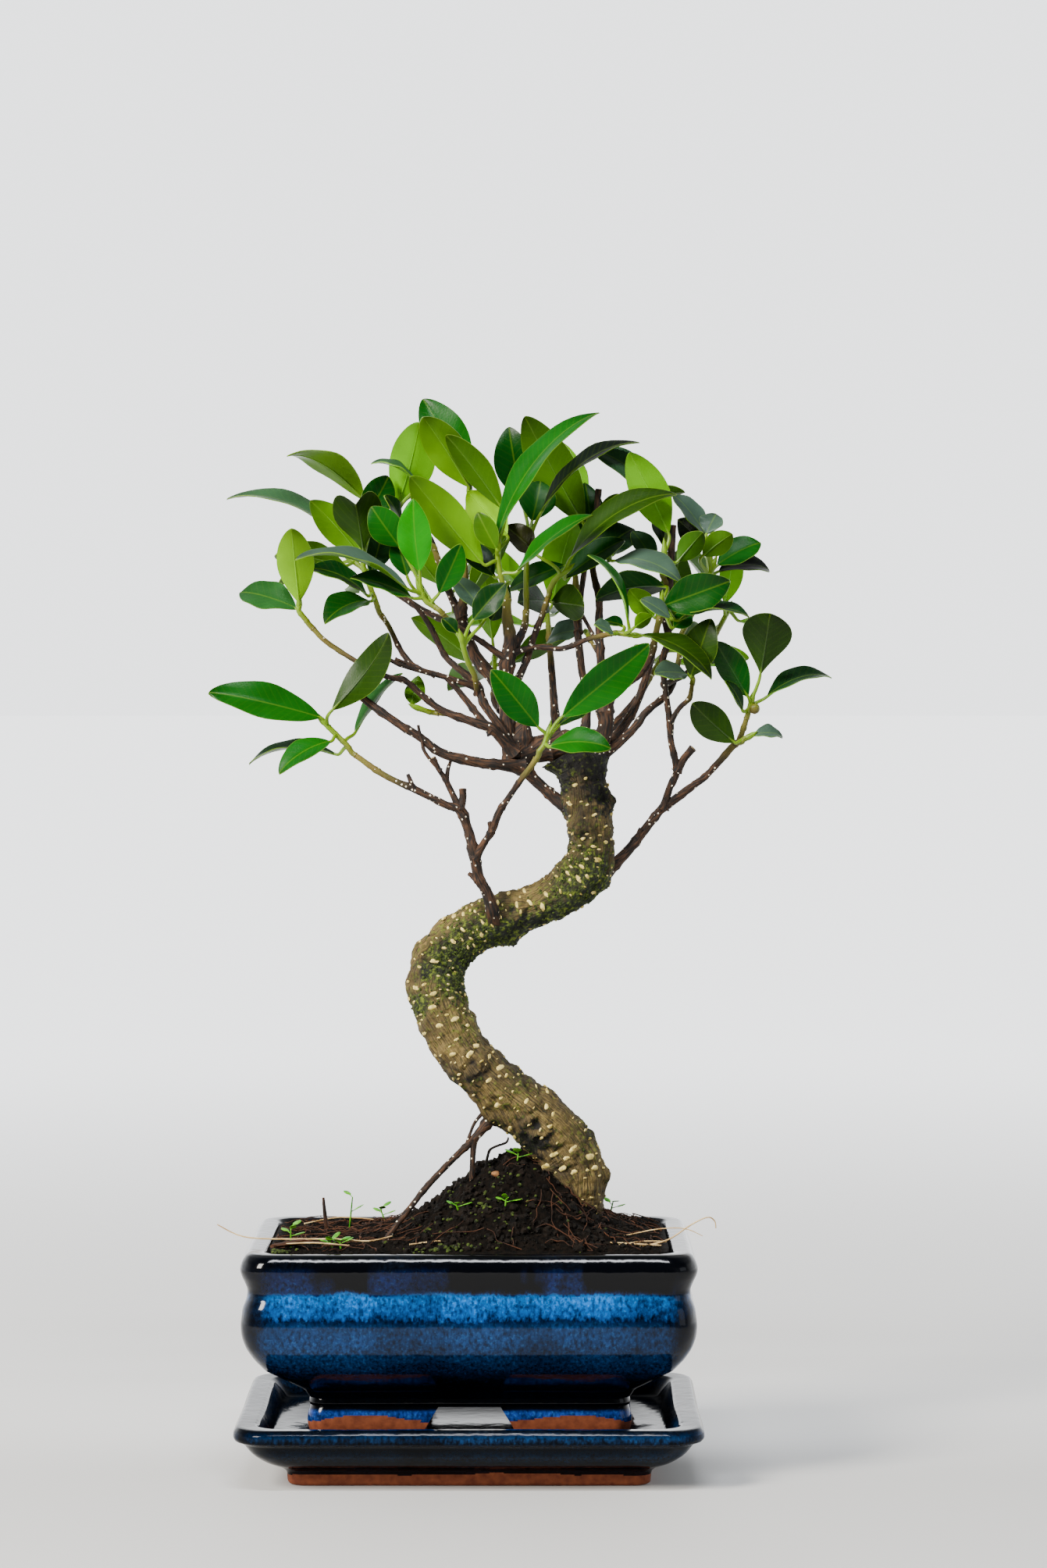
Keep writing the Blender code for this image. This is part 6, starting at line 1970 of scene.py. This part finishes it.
@dataclass
class GroundCover:
    """What lies and grows on the soil: seedlings, moss, straws, a stick, a chip and a pebble."""

    soil: Soil = field(default_factory=Soil)
    seedlings: Sequence[tuple[float, float, float, int]] = (
        (-60, -28, 7, 4), (-43, -34, 3, 5), (-46, -31, 2.5, 4), (12, -24, 2.5, 4), (-4, -19, 2, 3),
        (16, -7, 3, 3), (-42, 12, 12, 2), (48, 22, 6, 3), (-30, 26, 5, 4), (25, 28, 4, 3))
    straws: Sequence[Sequence[Point]] = (
        ((-85, -24, 84.6, .22), (-76, -25, 80.6, .25), (-62, -28, 80.2, .3), (-45, -31, 80.6, .32),
         (-34, -31, 79.9, .3), (-26, -28, 81.2, .25)),
        ((50, -36, 79.2, .3), (58, -33, 80, .35), (66, -30, 79.6, .3)),
        ((46, -30, 79.4, .25), (56, -36, 79.6, .3), (64, -38, 79.4, .22)),
        ((57, -36, 78.8, .28), (66, -37, 81, .3), (74, -36, 86, .28), (79.5, -35, 88.4, .25),
         (82, -34, 87, .22), (82.4, -34, 84.6, .18)),
        ((52, -20, 80.2, .2), (63, -24, 83, .2), (72, -30, 84, .18), (78, -34, 82, .12)),
        ((-64, -34, 79.2, .25), (-52, -36, 80, .3), (-40, -37, 79.2, .25)),
        ((-20, -36, 79.4, .28), (-8, -34, 80.4, .3), (2, -37, 79.4, .22)),
        ((30, 30, 79.8, .28), (42, 34, 80.6, .3), (55, 31, 79.8, .22)),
        ((-58, 20, 79.2, .25), (-46, 28, 80.4, .3), (-34, 30, 79.4, .22)))
    stick: Sequence[Point] = ((-50, 18, 76.5, .75), (-50.6, 17.6, 82, .7), (-51.2, 17.2, 88.6, .45))
    hook: Sequence[Point] = (
        (5.2, -5, 100, .55), (5.6, -5.2, 104, .5), (6.6, -5.6, 107.6, .45), (9.4, -5.8, 109.2, .42),
        (12.2, -5.6, 110.2, .38), (13, -5.4, 112, .3))
    chip: Point = (-60, -33, 79.4)
    pebble: Pair = (8.7, -12.5)
    mosses: Sequence[tuple[float, float, float, float, int]] = (  # x, y, reach, depth and how many
        (-6, -42, 14, 1.6, 60), (-64, -40, 6, 1.6, 50), (40, 40, 14, 1.6, 60),
        (-20, 42, 12, 1.6, 50), (8, -20, 34, 9, 130), (12, 22, 34, 9, 60))

    def build(self) -> None:
        """Build each kind of growth and litter."""
        self._seedlings()
        self._litter()
        self._moss()

    def _seedlings(self) -> None:
        """Grow seedlings: a thin stem with small round leaves on each."""
        draw = random.Random(61)
        sheet = Sheet()
        for x, y, tall, count in self.seedlings:
            foot = Vector((x, y, self.soil.level(x, y)))
            lean = Vector((draw.uniform(-0.4, 0.4), draw.uniform(-0.4, 0.1), 1)).normalized()
            top = foot + lean * tall
            sheet.stem(smooth_line([(*foot, 0.3), (*foot.lerp(top, 0.5), 0.28), (*top, 0.22)], 3), 5)
            for index in range(count):
                turn = 2.4 * index + draw.uniform(-0.3, 0.3)
                share = 0.55 + 0.45 * index / max(count - 1, 1)
                way = Vector((cos(turn), sin(turn), draw.uniform(0.1, 0.6))).normalized()
                base = foot.lerp(top, share)
                reach = draw.uniform(1.6, 2.6)
                leaf_middle = base + way * reach
                sheet.stem([(*base, 0.16), (*leaf_middle, 0.14)], 4)
                sizes = (draw.uniform(1.4, 2.2), draw.uniform(1, 1.5), 0.22)
                sheet.blob(leaf_middle + way * 1.2, sizes, way.to_track_quat("X", "Z"), 0, 2, 0.15)
        sheet.finish("seedlings", (SEEDLING,), "leaf")

    def _litter(self) -> None:
        """Lay the straws, the stick, the hooked twig, the bark chip and the pebble."""
        sheet = Sheet()
        for straw in self.straws:
            sheet.stem(smooth_line(straw, 5), 6)
        for twig, material in ((self.stick, 1), (self.hook, 3)):
            sheet.stem(smooth_line(twig, 5), 7, material=material,
                       swell=lambda place, out, ring: 0.12 * noise.noise(place * 1.4))
        chip_turn = Vector((0.95, 0.2, 0.12)).to_track_quat("X", "Z")
        sheet.blob(Vector(self.chip), (6.5, 1.9, 1.1), chip_turn, 1, 2, 0.5)
        pebble = Vector((*self.pebble, self.soil.level(*self.pebble) + 1.2))
        sheet.blob(pebble, (1.5, 1.3, 1.2), Quaternion(), 2, 2, 0.3)
        sheet.finish("soil_litter", (STRAW, FIBRE, PEBBLE, CRUMB), "soil")

    def _moss(self) -> None:
        """Grow low moss cushions at the pot's edge and over the mound."""
        draw = random.Random(63)
        sheet = Sheet()
        for middle_x, middle_y, reach, depth, count in self.mosses:
            for _ in range(count):
                x = min(max(middle_x + draw.gauss(0, reach / 2), -65), 65)
                y = min(max(middle_y + draw.gauss(0, depth), -44.5), 44.5)
                size = draw.uniform(0.3, 0.9)
                top = self.soil.level(x, y) + max(self.soil.crumbly(x, y), 0) + 0.2
                sheet.blob(Vector((x, y, top)), (size, size, size * 0.8), Quaternion(), 0, 1, 0.6)
        sheet.finish("soil_moss", (MOSS,), "soil", sharp=180)


@dataclass
class Studio:
    """A pale floor that fades into a bright backdrop, two soft lamps and the camera in front."""

    lens: float = 97.9             # on a sensor 36 mm high
    camera: Point = (18.1, -1455, 268)
    down: float = 1.406            # degrees that the camera looks down
    floor_reach: float = 30        # metres
    floor: str = "#C9C9C7"
    sky: str = "#F2F4F6"
    before: float = 0.06           # brightness of the backdrop in front of the tree
    beside: float = 0.3
    behind: float = 2.8
    above: float = 0.25            # share of it that is left overhead

    def build(self) -> None:
        """Set the floor, the lights and the camera."""
        self._floor()
        self._light("window", (-1.15, -1.05, 1.15), 80, (0.5, 0.7), "#FFF8EE")
        self._light("edge_strip", (0, -0.66, 1.1), 12, (0.6, 0.08), "#F6F9FF")
        self._light("side_fill", (1.6, -0.9, 0.5), 2.5, (0.8, 0.8), "#EEF4FF")
        self._sky()
        self._camera()

    def _glow(self, add: Adder, way: Node | NodeSocket) -> Node:
        """Add the backdrop's brightness, which changes round the tree and dims overhead.

        Args:
            add: adds a node to the material.
            way: the direction that is looked in.

        Returns:
            The brightness.
        """
        split = add("SeparateXYZ", (way,))
        y, z = split.outputs["Y"], split.outputs["Z"]
        front = add("MapRange", (y, -0.97, -0.8, self.before, self.beside), "SMOOTHSTEP")
        back = add("MapRange", (y, -0.3, 0.6, 0, self.behind - self.beside), "SMOOTHSTEP")
        around = add("Math", (front, back), "ADD")
        rise = add("MapRange", (z, 0.25, 0.6, 1, self.above), "SMOOTHSTEP")
        return add("Math", (around, rise), "MULTIPLY")

    def _floor(self) -> None:
        """Lay the floor, which is matt paint near the tree and fades to the backdrop's brightness."""
        shape = bmesh.new()
        bmesh.ops.create_circle(shape, cap_ends=True, segments=96, radius=self.floor_reach)
        mesh = bpy.data.meshes.new("studio_floor")
        shape.to_mesh(mesh)
        shape.free()
        paint = bpy.data.materials.new("floor_paint")
        paint.use_nodes = True
        shader = paint.node_tree.nodes["Principled BSDF"]
        add = partial(add_node, paint.node_tree)
        place = add("TexCoord").outputs["Object"]
        far = add("VectorMath", (place,), "LENGTH")
        way = add("VectorMath", (place,), "NORMALIZE")
        fade = add("MapRange", (far, 0.2, 1.7, 0.15, 1), "SMOOTHSTEP")
        glow = add("Math", (self._glow(add, way), fade), "MULTIPLY")
        dim = add("MapRange", (far, 0.4, 1.8, 1, 0), "SMOOTHSTEP")
        faded = add("Mix", (dim, "#000000", self.floor))
        wire(shader, {"Base Color": faded, "Roughness": 0.7, "Emission Color": self.sky,
                      "Emission Strength": glow})
        mesh.materials.append(paint)
        floor = bpy.data.objects.new("studio_floor", mesh)
        bpy.context.scene.collection.objects.link(floor)

    def _light(self, name: str, place: Point, power: float, size: Point, colour: str) -> None:
        """Hang a soft light that faces the tree.

        Args:
            name: the lamp's.
            place: metres from the middle of the saucer's underside.
            power: in watts.
            size: its width and height in metres.
            colour: the light's.
        """
        lamp = bpy.data.lights.new(name, "AREA")
        lamp.shape = "RECTANGLE"
        lamp.size, lamp.size_y = size
        lamp.energy = power
        lamp.color = linear(colour)[:3]
        holder = bpy.data.objects.new(name, lamp)
        holder.location = Vector(place) + POT_MIDDLE
        target = POT_MIDDLE + Vector((0, 0, 0.17))
        holder.rotation_euler = (target - holder.location).to_track_quat("-Z", "Y").to_euler()
        bpy.context.scene.collection.objects.link(holder)

    def _sky(self) -> None:
        """Light the whole from the backdrop."""
        world = bpy.data.worlds.new("studio_sky")
        bpy.context.scene.world = world
        world.use_nodes = True
        add = partial(add_node, world.node_tree)
        way = add("TexCoord").outputs["Generated"]
        wire(world.node_tree.nodes["Background"], {"Color": self.sky, "Strength": self._glow(add, way)})

    def _camera(self) -> None:
        """Stand the camera in front of the tree."""
        lens = bpy.data.cameras.new("camera")
        lens.lens = self.lens
        lens.sensor_width = 36
        lens.clip_start = 0.05
        lens.clip_end = 60
        camera = bpy.data.objects.new("camera", lens)
        camera.location = POT_MIDDLE + Vector(self.camera) * MM
        camera.rotation_euler = (radians(90 - self.down), 0, 0)
        bpy.context.scene.collection.objects.link(camera)
        bpy.context.scene.camera = camera


def main() -> None:
    """Build the plant from the saucer up, then the studio."""
    logging.basicConfig(level=logging.INFO, format="%(message)s")
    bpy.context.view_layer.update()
    Studio().build()
    Saucer().build()
    Pot().build()
    soil = Soil()
    soil.build()
    GroundCover(soil).build()
    Trunk().build()
    Limbs().build()
    for spray in [*SPRAYS, *BackSprays().sprays()]:
        spray.build()


if __name__ == "__main__":
    main()
